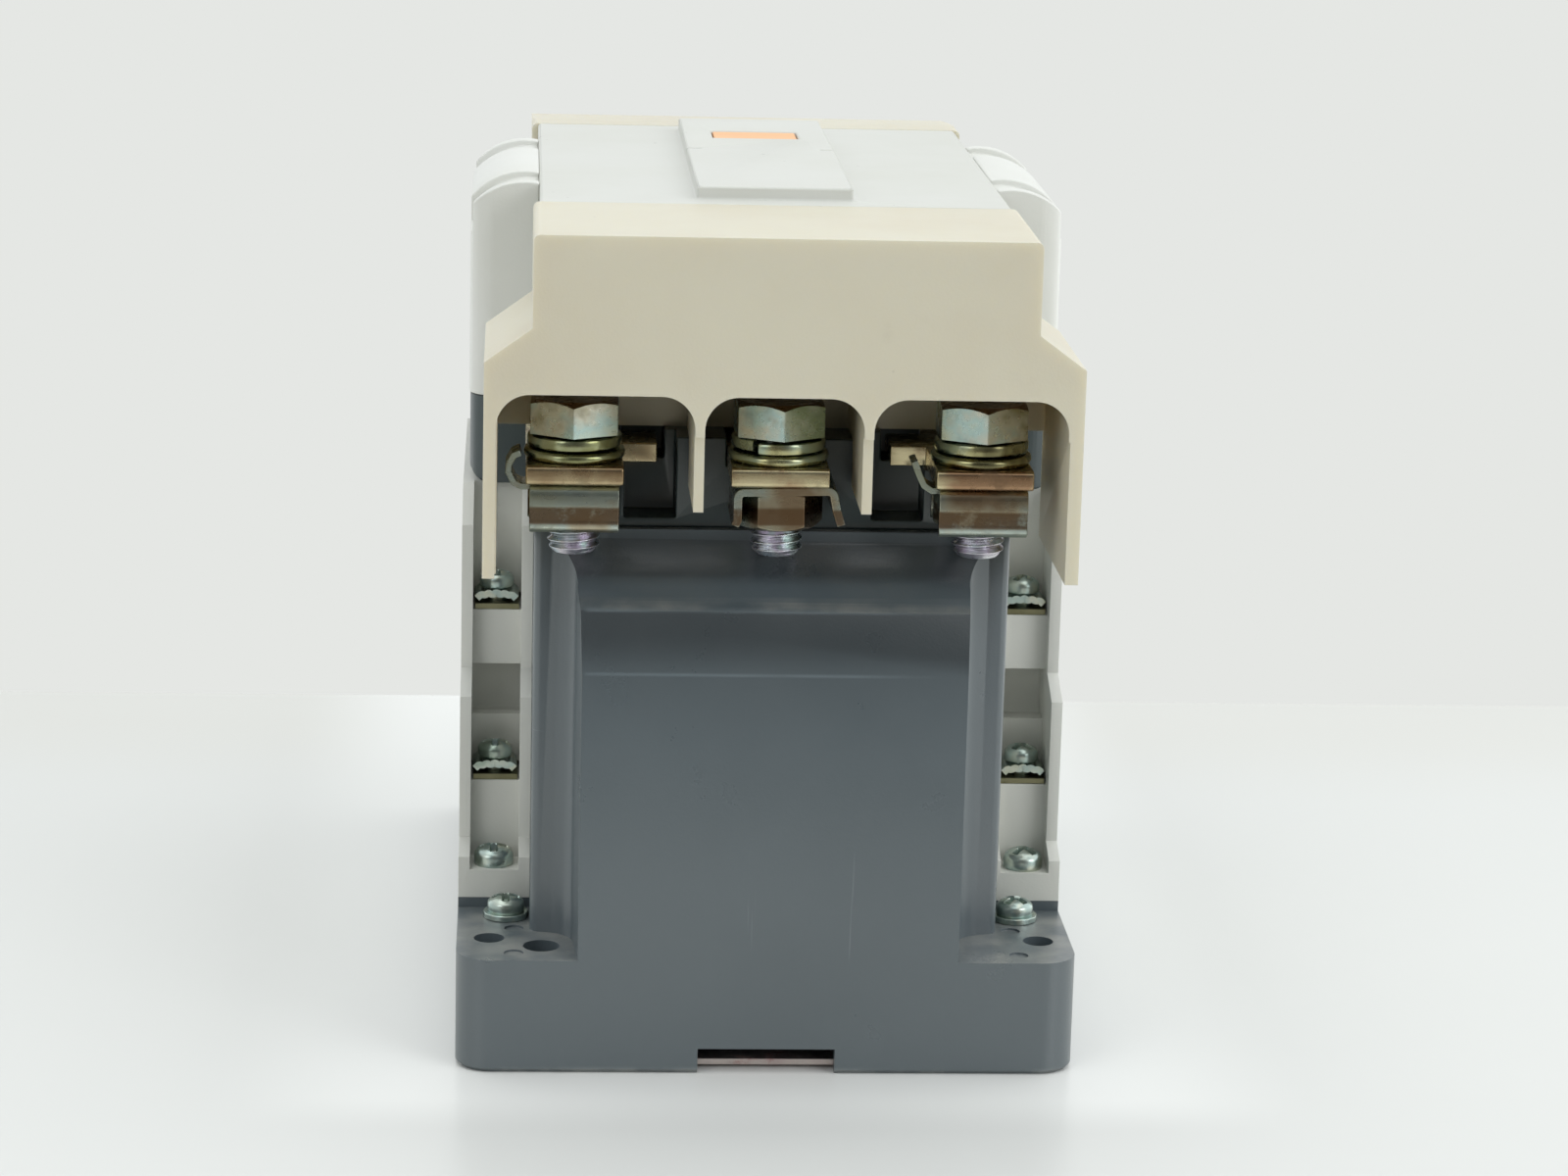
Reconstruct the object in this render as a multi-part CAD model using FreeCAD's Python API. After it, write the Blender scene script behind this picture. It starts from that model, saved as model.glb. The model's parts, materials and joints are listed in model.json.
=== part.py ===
import FreeCAD, Part
import math
import os

V = FreeCAD.Vector

# All sizes are in millimetres
# Origin at the bottom centre, X across the poles, load side at -Y, Z up

# Poles and stroke
POLE_PITCH = 30.5
STROKE = 7.0
OVERTRAVEL = 2.0
RUN_GAP = 0.5

# Clearances
SHAFT_GAP = 0.05
HOLE_GAP = 0.3
SEAT_GAP = 0.1

# Flats round a small fastener and round a terminal washer, few to keep them light
SMALL_SIDES = 12
ROUND_SIDES = 24

# Widths of the base: each step outwards from the poles
BODY_MARGIN_X = 5.8
LEDGE_X = 11.2
FRONT_INSET_X = 7.3
CAVITY_WALL_X = 4.3
BODY_HALF_X = POLE_PITCH + BODY_MARGIN_X
FOOT_HALF_X = BODY_HALF_X + LEDGE_X
WALL_HALF_X = BODY_HALF_X - FRONT_INSET_X
CAVITY_HALF_X = BODY_HALF_X - CAVITY_WALL_X

# Auxiliary blocks: each step outwards from the contact bridge
AUX_WALL = 1.8
AUX_BRIDGE_HALF_X = 2.0
AUX_BRIDGE_HALF_Y = 12.5
AUX_BRIDGE_LAP = 4.5
SLIDER_HALF_X = 2.9
SLIDER_GAP_Y = 2.5
AUX_CAVITY_ROOM = 6.5
AUX_BACK_T = 5.0
AUX_POCKET_STEP = 3.0
AUX_POCKET_R = 6.0
AUX_FACE1_STEP = 8.0
AUX_BLOCK_STEP = 4.0
AUX_FACE2_STEP = 8.0
AUX_LEDGE_W = 7.0
AUX_PLATE_INNER_Y = AUX_BRIDGE_HALF_Y - AUX_BRIDGE_LAP
SLIDER_HALF_Y = AUX_PLATE_INNER_Y - SLIDER_GAP_Y
AUX_CAVITY_Y = AUX_BRIDGE_HALF_Y + AUX_CAVITY_ROOM
AUX_BACK_Y = AUX_CAVITY_Y + AUX_BACK_T
AUX_POCKET_Y = AUX_BACK_Y + AUX_POCKET_STEP
AUX_FACE1_Y = AUX_BACK_Y + AUX_FACE1_STEP
AUX_BLOCK_Y = AUX_POCKET_Y + AUX_BLOCK_STEP
AUX_FACE2_Y = AUX_BLOCK_Y + AUX_FACE2_STEP
AUX_HALF_Y = AUX_FACE2_Y + AUX_LEDGE_W
AUX_HALF_X = FOOT_HALF_X

# Heights of the auxiliary blocks
AUX_LEDGE_Z = 24.2
AUX_FLOOR2_Z = 36.8
AUX_BLOCK_Z = 45.5
AUX_POCKET_Z = 54.0
AUX_FLOOR1_Z = 62.8
AUX_PLATE_T = 0.9
AUX_GAP = 7.4

# Auxiliary screws and clamps
AUX_SCREW_R = 1.75
AUX_HEAD_R = 2.9
AUX_HEAD_H = 3.0
AUX_CLAMP_H = 2.2
AUX_CLAMP_HALF = 3.1
AUX_FIX_R = 1.75
AUX_FIX_HEAD_R = 3.1
AUX_FIX_HEAD_H = 3.2
SCREW_DEPTH = 7.0

# Foot: each step outwards from the auxiliary blocks
BASE_SCREW_R = 2.0
BASE_HEAD_R = 3.4
BASE_HEAD_H = 3.0
BASE_WASHER_R = 3.6
BASE_WASHER_T = 1.0
SCREW_STEP_Y = 4.5
SCREW_STEP_X = 3.7
MOUNT_STEP_Y = 11.0
MOUNT_STEP_X = 2.5
FOOT_END_Y = 11.0
BASE_SCREW_X = BODY_HALF_X + SCREW_STEP_X
BASE_SCREW_Y = AUX_HALF_Y + SCREW_STEP_Y
MOUNT_X = BASE_SCREW_X + MOUNT_STEP_X
MOUNT_Y = BASE_SCREW_Y + MOUNT_STEP_Y
FOOT_HALF_Y = MOUNT_Y + FOOT_END_Y
FOOT_HEIGHT = 18.0
FOOT_CORNER_R = 5.5
FOOT_EDGE = 0.7
MOUNT_R = 2.35
BORE_R = 2.8
BORE_EDGE_X = 13.0
BORE_EDGE_Y = 7.3
BORE_X = FOOT_HALF_X - BORE_EDGE_X
BORE_Y = FOOT_HALF_Y - BORE_EDGE_Y
PIN_MARK_R = 1.5
PIN_MARK_EDGE_X = 8.8
PIN_MARK_EDGE_Y = 3.9
PIN_MARK_PITCH = 12.0
PIN_MARK_X = FOOT_HALF_X - PIN_MARK_EDGE_X
PIN_MARK_Y2 = FOOT_HALF_Y - PIN_MARK_EDGE_Y
PIN_MARK_Y1 = PIN_MARK_Y2 - PIN_MARK_PITCH

# Base body
POST_INSET_Y = 16.1
CHANNEL_INSET_Y = 13.8
CAVITY_WALL_Y = 6.4
SLOPE_INSET_Y = 15.0
POST_Y = FOOT_HALF_Y - POST_INSET_Y
CHANNEL_Y = FOOT_HALF_Y - CHANNEL_INSET_Y
CAVITY_HALF_Y = POST_Y - CAVITY_WALL_Y
SLOPE_Y = FOOT_HALF_Y - SLOPE_INSET_Y
BAND_Z0 = 63.0
BAND_DEPTH = 3.3
BAND_HEIGHT = 9.0
SLOPE_Z = 84.0
SPLIT_Z = 82.0
STRIP_HEIGHT = 1.6
FLOOR_Z = 5.0
WALL = 3.0
NOTCH_HALF_X = 10.5
NOTCH_HEIGHT = 4.0

# Back plate
PLATE_MARGIN_X = 3.0
PLATE_MARGIN_Y = 2.5
PLATE_Z = 0.6
PLATE_T = 1.0
PLATE_HALF_X = FOOT_HALF_X - PLATE_MARGIN_X
PLATE_HALF_Y = FOOT_HALF_Y - PLATE_MARGIN_Y

# Magnet
CUSHION_T = 2.0
CORE_ROOM_X = 2.0
CORE_HALF_X = CAVITY_HALF_X - CORE_ROOM_X
CORE_HALF_Y = 22.0
CORE_LEG = 8.0
YOKE_H = 11.0
CORE_H = 29.0
ARMATURE_LEG_H = 13.0
SHADE_W = 1.6
SHADE_H = 2.0
SHADE_INSET = 5.1
SHADE_X = CORE_HALF_X - SHADE_INSET
BOBBIN_GAP = 0.6
BOBBIN_WALL = 1.5
BOBBIN_TOP_Z = 48.5
FLANGE_REACH_Y = 15.0
FLANGE_HALF_X = CORE_HALF_X - CORE_LEG - BOBBIN_GAP
FLANGE_HALF_Y = CORE_HALF_Y + FLANGE_REACH_Y
FLANGE_T = 2.0
WINDING_INSET = 1.5
RETAINER_R = 2.5
SPRING_STEP_Y = 9.6
SPRING_Y = CORE_HALF_Y + SPRING_STEP_Y
SPRING_R = 4.0
SPRING_WIRE = 1.1

# Coil terminals on the line side
COIL_TERM_X = 20.0
COIL_TERM_HALF_W = 6.5
COIL_TERM_Z = 66.0
COIL_TERM_EDGE_Y = 7.0
COIL_TERM_Y = FOOT_HALF_Y - COIL_TERM_EDGE_Y
COIL_PLATE_T = 1.0

# Arc cover
ARC_INSET_X = 0.8
ARC_HALF_X = FOOT_HALF_X - ARC_INSET_X
ARC_HALF_Y = 26.0
ARC_EDGE_Z = 126.0
ARC_TOP_Z = 129.9
ARC_WALL = 2.0
ARC_CORNER_R = 4.0
ARC_GROOVE = 0.9
ARC_GROOVE_W = 9.4
ROOF_Z = 119.0
ROOF_T = 2.5
NARROW_STEP = 0.3
NARROW_HALF_X = BODY_HALF_X - NARROW_STEP
NARROW_HALF_Y = 46.0
POLE_WALL_T = 1.6
DEION_HALF_X = 11.0
DEION_DEPTH = 5.8
DEION_T = 1.2
DEION_PITCH = 3.4
DEION_COUNT = 6
DEION_Z0 = 98.0
DEION_Y0 = ARC_HALF_Y - ARC_WALL - DEION_DEPTH

# Upper frame
SHOULDER_STEP = 0.2
SHOULDER_R = 3.0
SHOULDER_HALF_X = ARC_HALF_X - SHOULDER_STEP
FRAME_TOP_Z = 96.0
FRAME_FLOOR_T = 2.2
FRAME_LIP = 0.1
FRAME_HALF_Y = POST_Y + FRAME_LIP
LINER_Y = 12.0
LINER_HALF_X = 11.0
LINER_ROOF_T = 2.5

# Main terminals
BAR_Z = 91.5
BAR_T = 3.0
BAR_HALF_W = 7.25
BAR_INNER_Y = 8.6
BOLT_STEP_Y = 7.5
BAR_REACH_Y = 8.0
TAB_W = 5.5
TAB_LENGTH = 10.0
TAB_INSET_Y = 2.5
BOLT_Y = FRAME_HALF_Y + BOLT_STEP_Y
BAR_END_Y = BOLT_Y + BAR_REACH_Y
TAB_Y1 = FRAME_HALF_Y - TAB_INSET_Y
TAB_Y0 = TAB_Y1 - TAB_LENGTH
BOLT_R = 4.0
BOLT_TIP_Z = 79.5
HEX_AF = 13.0
HEAD_H = 5.3
FLAT_WASHER_R = 7.6
FLAT_WASHER_T = 1.6
SPRING_WASHER_R = 7.1
SPRING_WASHER_T = 2.3
NUT_AF = 12.0
NUT_H = 6.0
CLIP_T = 1.0
CLIP_HALF_W = 6.65
CLIP_LEG_H = 7.2
CLIP_LEG_Z = BAR_Z - CLIP_LEG_H
RECESS_DEPTH = 6.5
RECESS_GAP = 0.45
RECESS_W = 7.9
RECESS_Z = 83.5
RECESS_Y = FRAME_HALF_Y - RECESS_DEPTH
RECESS_X1 = POLE_PITCH - BAR_HALF_W - RECESS_GAP
RECESS_X0 = RECESS_X1 - RECESS_W

# Contacts
TIP_Y = 13.8
TIP_HALF_Y = 2.7
TIP_HALF_X = 4.5
TIP_T = 1.5
BRIDGE_HALF_X = 5.4
BRIDGE_END = 0.5
BRIDGE_HALF_Y = TIP_Y + TIP_HALF_Y + BRIDGE_END
BRIDGE_T = 2.5

# Contact carrier
CARRIER_PLATE_T = 4.0
CARRIER_INSET_X = 2.0
CARRIER_OVER_Y = 4.9
CARRIER_PLATE_X = CORE_HALF_X - CARRIER_INSET_X
CARRIER_PLATE_Y = SPRING_Y + CARRIER_OVER_Y
COLUMN_INSET_X = 4.0
COLUMN_HALF_X = CARRIER_PLATE_X - COLUMN_INSET_X
CARRIER_HALF_Y = 6.0
BEAM_H = 6.4
POST_HALF_X = 8.0
POST_TOP_Z = 116.0
WINDOW_TOP_Z = 113.0
WINDOW_GAP = 0.4
CONTACT_SPRING_R = 4.0
CONTACT_SPRING_WIRE = 0.9

# Front cover and indicator
COVER_TOP_Z = 130.0
COVER_WALL = 1.8
COVER_EDGE = 0.6
PANEL_HALF_X = 12.0
PANEL_INSET_Y = 5.0
PANEL_HALF_Y = NARROW_HALF_Y - PANEL_INSET_Y
PANEL_H = 2.0
PANEL_EDGE = 0.4
TICK_Y = 2.4
TICK_W = 1.2
TICK_LENGTH = 2.4
INDICATOR_Y0 = 16.6
INDICATOR_Y1 = 24.4
INDICATOR_HALF_X = 6.5
INDICATOR_GAP = 0.6
INDICATOR_TOP_Z = 131.4
INDICATOR_STEM_X = 4.0

# Terminal covers
SHROUD_STEP_Y = 7.0
SHROUD_STEP_X = 1.0
EAR_INSET_X = 3.5
PARTITION_GAP = 5.15
PARTITION_INSET_Y = 6.0
SHROUD_Y = BAR_END_Y + SHROUD_STEP_Y
SHROUD_HALF_X = NARROW_HALF_X + SHROUD_STEP_X
EAR_HALF_X = FOOT_HALF_X - EAR_INSET_X
PARTITION_X = BAR_HALF_W + PARTITION_GAP
PARTITION_Y = BOLT_Y - PARTITION_INSET_Y
SHROUD_SIDE_Z = 116.3
EAR_TOP_Z = 111.2
EAR_BOTTOM_Z = 79.0
SHROUD_WALL = 2.0
ARCH_TOP_Z = 106.5
ARCH_R = 5.0
PIER_Z = 100.5
PIER_T = 1.5
PARTITION_Z = 89.0
LINE_DROP = 2.6

# How far cutting tools reach past the whole object
FAR = SHROUD_Y + FOOT_HALF_X

# Derived places
POLES = [-POLE_PITCH, 0.0, POLE_PITCH]
CORE_Z = FLOOR_Z + CUSHION_T
YOKE_TOP_Z = CORE_Z + YOKE_H
CORE_TOP_Z = CORE_Z + CORE_H
ARMATURE_Z = CORE_TOP_Z + STROKE
ARMATURE_YOKE_Z = ARMATURE_Z + ARMATURE_LEG_H
ARMATURE_TOP_Z = ARMATURE_YOKE_Z + YOKE_H
CARRIER_TOP_Z = ARMATURE_TOP_Z + CARRIER_PLATE_T
FRAME_FLOOR_Z = SPLIT_Z + FRAME_FLOOR_T
BEAM_Z = FRAME_FLOOR_Z + STROKE + RUN_GAP
BAR_TOP_Z = BAR_Z + BAR_T
TIP_TOP_Z = BAR_TOP_Z + TIP_T
MAIN_GAP = STROKE - OVERTRAVEL + 0.05
BRIDGE_TIP_Z = TIP_TOP_Z + MAIN_GAP
BRIDGE_Z = BRIDGE_TIP_Z + TIP_T
BRIDGE_TOP_Z = BRIDGE_Z + BRIDGE_T
FLAT_WASHER_Z = BAR_TOP_Z
SPRING_WASHER_Z = FLAT_WASHER_Z + FLAT_WASHER_T
HEAD_Z = SPRING_WASHER_Z + SPRING_WASHER_T
STRIP_TOP_Z = FOOT_HEIGHT + STRIP_HEIGHT
PLATE_TOP_Z = PLATE_Z + PLATE_T
ROOF_TOP_Z = ROOF_Z + ROOF_T
AUX_INNER_X = BODY_HALF_X + AUX_WALL
AUX_OUTER_X = AUX_HALF_X - AUX_WALL
AUX_MID_X = (AUX_INNER_X + AUX_OUTER_X) / 2
AUX_SCREW2_Y = (AUX_FACE2_Y + AUX_BLOCK_Y) / 2
AUX_SCREW1_Y = (AUX_FACE1_Y + AUX_BACK_Y) / 2
AUX_FIX_Y = (AUX_HALF_Y + AUX_FACE2_Y) / 2


def box(x0, x1, y0, y1, z0, z1):
    return Part.makeBox(x1 - x0, y1 - y0, z1 - z0, V(x0, y0, z0))


def rod(r, x, y, z0, z1):
    return Part.makeCylinder(r, z1 - z0, V(x, y, z0))


def tube(hx, hy, wx, wy, z0, z1):
    outer = box(-hx, hx, -hy, hy, z0, z1)
    return outer.cut(box(-wx, wx, -wy, wy, z0 - 1, z1 + 1))


def join(shapes):
    out = shapes[0]
    if len(shapes) > 1:
        out = out.fuse(shapes[1:])
    return out.removeSplitter()


def carve(shape, tools):
    return shape.cut(Part.makeCompound(tools)).removeSplitter()


def prism_x(points, x0, x1):
    pts = [V(x0, y, z) for y, z in points]
    face = Part.Face(Part.makePolygon(pts + [pts[0]]))
    return face.extrude(V(x1 - x0, 0, 0))


def prism_y(points, y0, y1):
    pts = [V(x, y0, z) for x, z in points]
    face = Part.Face(Part.makePolygon(pts + [pts[0]]))
    return face.extrude(V(0, y1 - y0, 0))


def prism_z(points, z0, z1):
    pts = [V(x, y, z0) for x, y in points]
    face = Part.Face(Part.makePolygon(pts + [pts[0]]))
    return face.extrude(V(0, 0, z1 - z0))


def flip_x(shape):
    return shape.mirror(V(0, 0, 0), V(1, 0, 0))


def flip_y(shape):
    return shape.mirror(V(0, 0, 0), V(0, 1, 0))


def four(shape):
    right = [shape, flip_y(shape)]
    return right + [flip_x(s) for s in right]


def turned(shape, x, y, angle):
    out = shape.copy()
    out.rotate(V(x, y, 0), V(0, 0, 1), angle)
    return out


def upright_edges(shape, x_min=0.0):
    found = []
    for edge in shape.Edges:
        a, b = edge.Vertexes[0].Point, edge.Vertexes[-1].Point
        straight = abs(a.x - b.x) < 1e-6 and abs(a.y - b.y) < 1e-6
        if straight and abs(a.z - b.z) > 1e-6 and abs(a.x) > x_min:
            found.append(edge)
    return found


def hexagon(af, x, y, z0, z1, angle):
    r = af / math.sqrt(3)
    pts = []
    for i in range(6):
        a = math.radians(angle + 60 * i)
        pts.append((x + r * math.cos(a), y + r * math.sin(a)))
    return prism_z(pts, z0, z1)


def polygon(r, x, y, z, sides):
    pts = []
    for i in range(sides):
        a = 2 * math.pi * i / sides
        pts.append(V(x + r * math.cos(a), y + r * math.sin(a), z))
    return Part.makePolygon(pts + [pts[0]])


def stack(x, y, sides, steps):
    # A turned piece with flats, through steps of radius and height
    parts = []
    for (r0, z0), (r1, z1) in zip(steps, steps[1:]):
        if r0 == r1:
            parts.append(Part.Face(polygon(r0, x, y, z0, sides)).extrude(V(0, 0, z1 - z0)))
        elif z1 > z0:
            parts.append(Part.makeLoft([polygon(r0, x, y, z0, sides), polygon(r1, x, y, z1, sides)], True, True))
    return join(parts)


def flat_ring(ro, ri, x, y, z0, z1, sides):
    hole = stack(x, y, sides, [(ri, z0 - 1), (ri, z1 + 1)])
    return stack(x, y, sides, [(ro, z0), (ro, z1)]).cut(hole)


def pan_screw(x, y, z_seat, head_r, head_h, shaft_r, z_tip):
    z_rim = z_seat + head_h * 0.55
    z_top = z_seat + head_h
    steps = [(shaft_r, z_tip), (shaft_r, z_seat), (head_r, z_seat), (head_r, z_rim), (head_r * 0.7, z_top)]
    screw = stack(x, y, SMALL_SIDES, steps)
    arm = head_r * 0.5
    half = head_r * 0.12
    slot1 = box(x - arm, x + arm, y - half, y + half, z_rim, z_top + 1)
    slot2 = box(x - half, x + half, y - arm, y + arm, z_rim, z_top + 1)
    return carve(screw, [slot1, slot2])


def spring(x, y, z0, z1, radius, wire, turns):
    # A square wire swept in straight steps, so that it stays light
    steps = 8
    count = int(turns * steps)
    half = wire / 2
    rise = (z1 - z0 - wire) / count
    rows = []
    for i in range(count + 1):
        a = 2 * math.pi * i / steps
        z = z0 + half + rise * i
        row = []
        for dr, dz in ((-half, -half), (half, -half), (half, half), (-half, half)):
            r = radius + dr
            row.append(V(x + r * math.cos(a), y + r * math.sin(a), z + dz))
        rows.append(row)
    faces = [Part.Face(Part.makePolygon(rows[0] + [rows[0][0]]))]
    faces.append(Part.Face(Part.makePolygon(rows[-1] + [rows[-1][0]])))
    for low, high in zip(rows, rows[1:]):
        for k in range(4):
            n = (k + 1) % 4
            faces.append(Part.Face(Part.makePolygon([low[k], low[n], high[n], low[k]])))
            faces.append(Part.Face(Part.makePolygon([low[k], high[n], high[k], low[k]])))
    shell = Part.Shell(faces)
    solid = Part.Solid(shell)
    if solid.Volume < 0:
        solid.reverse()
    return solid


def body_profile():
    edges = []
    for sy in (-1, 1):
        edges.append(Part.makeLine(V(-WALL_HALF_X, sy * FOOT_HALF_Y, 0), V(WALL_HALF_X, sy * FOOT_HALF_Y, 0)))
        for sx in (-1, 1):
            a = V(sx * WALL_HALF_X, sy * FOOT_HALF_Y, 0)
            b = V(sx * (WALL_HALF_X + 0.7), sy * (CHANNEL_Y + 5.3), 0)
            m = V(sx * (WALL_HALF_X + 1.8), sy * (CHANNEL_Y + 1.6), 0)
            c = V(sx * (BODY_HALF_X - 3.1), sy * CHANNEL_Y, 0)
            d = V(sx * (BODY_HALF_X - 1.3), sy * (CHANNEL_Y - 0.5), 0)
            n = V(sx * (BODY_HALF_X - 0.3), sy * (CHANNEL_Y - 1.2), 0)
            e = V(sx * BODY_HALF_X, sy * POST_Y, 0)
            edges.append(Part.makeLine(a, b))
            edges.append(Part.Arc(b, m, c).toShape())
            edges.append(Part.makeLine(c, d))
            edges.append(Part.Arc(d, n, e).toShape())
    for sx in (-1, 1):
        edges.append(Part.makeLine(V(sx * BODY_HALF_X, -POST_Y, 0), V(sx * BODY_HALF_X, POST_Y, 0)))
    return Part.Face(Part.Wire(Part.__sortEdges__(edges)))


def slope_cutter():
    a = V(-FAR, -FOOT_HALF_Y, BAND_Z0)
    b = V(-FAR, -FOOT_HALF_Y + BAND_DEPTH, BAND_Z0 + BAND_HEIGHT)
    m = V(-FAR, -SLOPE_Y - 3.3, SLOPE_Z - 6.8)
    c = V(-FAR, -SLOPE_Y, SLOPE_Z)
    d = V(-FAR, -SLOPE_Y, SLOPE_Z + 6)
    e = V(-FAR, -FAR, SLOPE_Z + 6)
    f = V(-FAR, -FAR, BAND_Z0)
    edges = [Part.makeLine(a, b), Part.Arc(b, m, c).toShape(), Part.makeLine(c, d)]
    edges += [Part.makeLine(d, e), Part.makeLine(e, f), Part.makeLine(f, a)]
    return Part.Face(Part.Wire(edges)).extrude(V(2 * FAR, 0, 0))


def base_frame():
    foot = box(-FOOT_HALF_X, FOOT_HALF_X, -FOOT_HALF_Y, FOOT_HALF_Y, 0, FOOT_HEIGHT)
    foot = foot.makeFillet(FOOT_CORNER_R, upright_edges(foot))
    low = [e for e in foot.Edges if e.BoundBox.ZMax < 1e-3]
    foot = foot.makeChamfer(FOOT_EDGE, low)
    body = body_profile().extrude(V(0, 0, SPLIT_Z - FOOT_EDGE))
    body.translate(V(0, 0, FOOT_EDGE))
    front = slope_cutter()
    body = carve(body, [front, flip_y(front)])
    strip = box(-FOOT_HALF_X, FOOT_HALF_X, -AUX_HALF_Y, AUX_HALF_Y, FOOT_HEIGHT - 1, STRIP_TOP_Z)
    shape = join([foot, body, strip])
    cuts = [box(-CAVITY_HALF_X, CAVITY_HALF_X, -CAVITY_HALF_Y, CAVITY_HALF_Y, FLOOR_Z, SPLIT_Z + 1)]
    px = PLATE_HALF_X + SEAT_GAP
    py = PLATE_HALF_Y + SEAT_GAP
    cuts.append(box(-px, px, -py, py, -1, PLATE_TOP_Z))
    hollow_x = WALL_HALF_X - WALL
    hollow = box(-hollow_x, hollow_x, -FOOT_HALF_Y + WALL, -CAVITY_HALF_Y - WALL, -1, BAND_Z0 - WALL)
    cuts += [hollow, flip_y(hollow)]
    notch = box(-NOTCH_HALF_X, NOTCH_HALF_X, -FOOT_HALF_Y - 1, -FOOT_HALF_Y + WALL + 1, -1, NOTCH_HEIGHT)
    cuts += [notch, flip_y(notch)]
    cuts += four(rod(MOUNT_R, MOUNT_X, MOUNT_Y, -1, STRIP_TOP_Z + 1))
    cuts.append(rod(BORE_R, -BORE_X, -BORE_Y, -1, FOOT_HEIGHT + 1))
    cuts.append(rod(BORE_R, BORE_X, BORE_Y, -1, FOOT_HEIGHT + 1))
    cuts += four(rod(BASE_SCREW_R + SHAFT_GAP, BASE_SCREW_X, BASE_SCREW_Y, -1, FOOT_HEIGHT + 1))
    cuts += four(rod(PIN_MARK_R, PIN_MARK_X, PIN_MARK_Y1, FOOT_HEIGHT - 0.3, FOOT_HEIGHT + 1))
    cuts += four(rod(PIN_MARK_R, PIN_MARK_X, PIN_MARK_Y2, FOOT_HEIGHT - 0.3, FOOT_HEIGHT + 1))
    cuts += four(rod(AUX_FIX_R + SHAFT_GAP, AUX_MID_X, AUX_FIX_Y, FOOT_HEIGHT - SCREW_DEPTH, STRIP_TOP_Z + 1))
    side = box(CAVITY_HALF_X - 1, BODY_HALF_X + 1, -arm_room(), arm_room(), slider_slot_z(), SPLIT_Z + 1)
    cuts += [side, flip_x(side)]
    for sx in (-1, 1):
        x = sx * COIL_TERM_X
        hw = COIL_TERM_HALF_W
        cuts.append(box(x - hw, x + hw, SLOPE_Y + 0.5, FOOT_HALF_Y + 1, COIL_TERM_Z, SLOPE_Z + 1))
        top = COIL_TERM_Z + COIL_PLATE_T
        cuts.append(box(x - hw + 1, x + hw - 1, CAVITY_HALF_Y - 1, SLOPE_Y + 1, COIL_TERM_Z, top))
        cuts.append(rod(BASE_SCREW_R + SHAFT_GAP, x, COIL_TERM_Y, COIL_TERM_Z - SCREW_DEPTH - 1, COIL_TERM_Z + 1))
    return carve(shape, cuts)


def arm_half():
    return CARRIER_HALF_Y / 2


def arm_room():
    return arm_half() + RUN_GAP + SEAT_GAP


def slider_slot_z():
    return ARMATURE_TOP_Z + 1 - STROKE - RUN_GAP


def back_plate():
    plate = box(-PLATE_HALF_X, PLATE_HALF_X, -PLATE_HALF_Y, PLATE_HALF_Y, PLATE_Z, PLATE_TOP_Z)
    plate = plate.makeFillet(FOOT_CORNER_R - PLATE_MARGIN_Y, upright_edges(plate))
    cuts = four(rod(MOUNT_R + 0.8, MOUNT_X, MOUNT_Y, -1, PLATE_TOP_Z + 1))
    cuts.append(rod(BORE_R + 0.8, -BORE_X, -BORE_Y, -1, PLATE_TOP_Z + 1))
    cuts.append(rod(BORE_R + 0.8, BORE_X, BORE_Y, -1, PLATE_TOP_Z + 1))
    cuts += four(rod(BASE_SCREW_R + SHAFT_GAP, BASE_SCREW_X, BASE_SCREW_Y, -1, PLATE_TOP_Z + 1))
    return carve(plate, cuts)


def base_screws():
    seat = FOOT_HEIGHT + BASE_WASHER_T
    one = pan_screw(BASE_SCREW_X, BASE_SCREW_Y, seat, BASE_HEAD_R, BASE_HEAD_H, BASE_SCREW_R, PLATE_Z + 0.2)
    return Part.makeCompound(four(one))


def base_screw_washers():
    top = FOOT_HEIGHT + BASE_WASHER_T
    hole = BASE_SCREW_R + SHAFT_GAP
    one = flat_ring(BASE_WASHER_R, hole, BASE_SCREW_X, BASE_SCREW_Y, FOOT_HEIGHT, top, SMALL_SIDES)
    return Part.makeCompound(four(one))


def core_cushions():
    one = box(CORE_LEG, CORE_HALF_X, CORE_HALF_Y / 2, CORE_HALF_Y, FLOOR_Z, CORE_Z)
    return Part.makeCompound(four(one))


def fixed_core():
    yoke = box(-CORE_HALF_X, CORE_HALF_X, -CORE_HALF_Y, CORE_HALF_Y, CORE_Z, YOKE_TOP_Z)
    middle = box(-CORE_LEG, CORE_LEG, -CORE_HALF_Y, CORE_HALF_Y, CORE_Z, CORE_TOP_Z - 0.3)
    inner = CORE_HALF_X - CORE_LEG
    leg = box(inner, CORE_HALF_X, -CORE_HALF_Y, CORE_HALF_Y, CORE_Z, CORE_TOP_Z)
    shape = join([yoke, middle, leg, flip_x(leg)])
    slot_z = CORE_TOP_Z - SHADE_H - 0.6
    slot = box(SHADE_X, SHADE_X + SHADE_W, -CORE_HALF_Y - 1, CORE_HALF_Y + 1, slot_z, CORE_TOP_Z + 1)
    return carve(shape, [slot, flip_x(slot)])


def shading_rings():
    z0 = CORE_TOP_Z - SHADE_H - 0.6
    outer_x = CORE_HALF_X + SHADE_W
    outer_y = CORE_HALF_Y + SHADE_W
    loop = box(SHADE_X, outer_x, -outer_y, outer_y, z0, z0 + SHADE_H)
    hole = box(SHADE_X + SHADE_W, CORE_HALF_X, -CORE_HALF_Y, CORE_HALF_Y, z0 - 1, z0 + SHADE_H + 1)
    loop = carve(loop, [hole])
    return Part.makeCompound([loop, flip_x(loop)])


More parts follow.
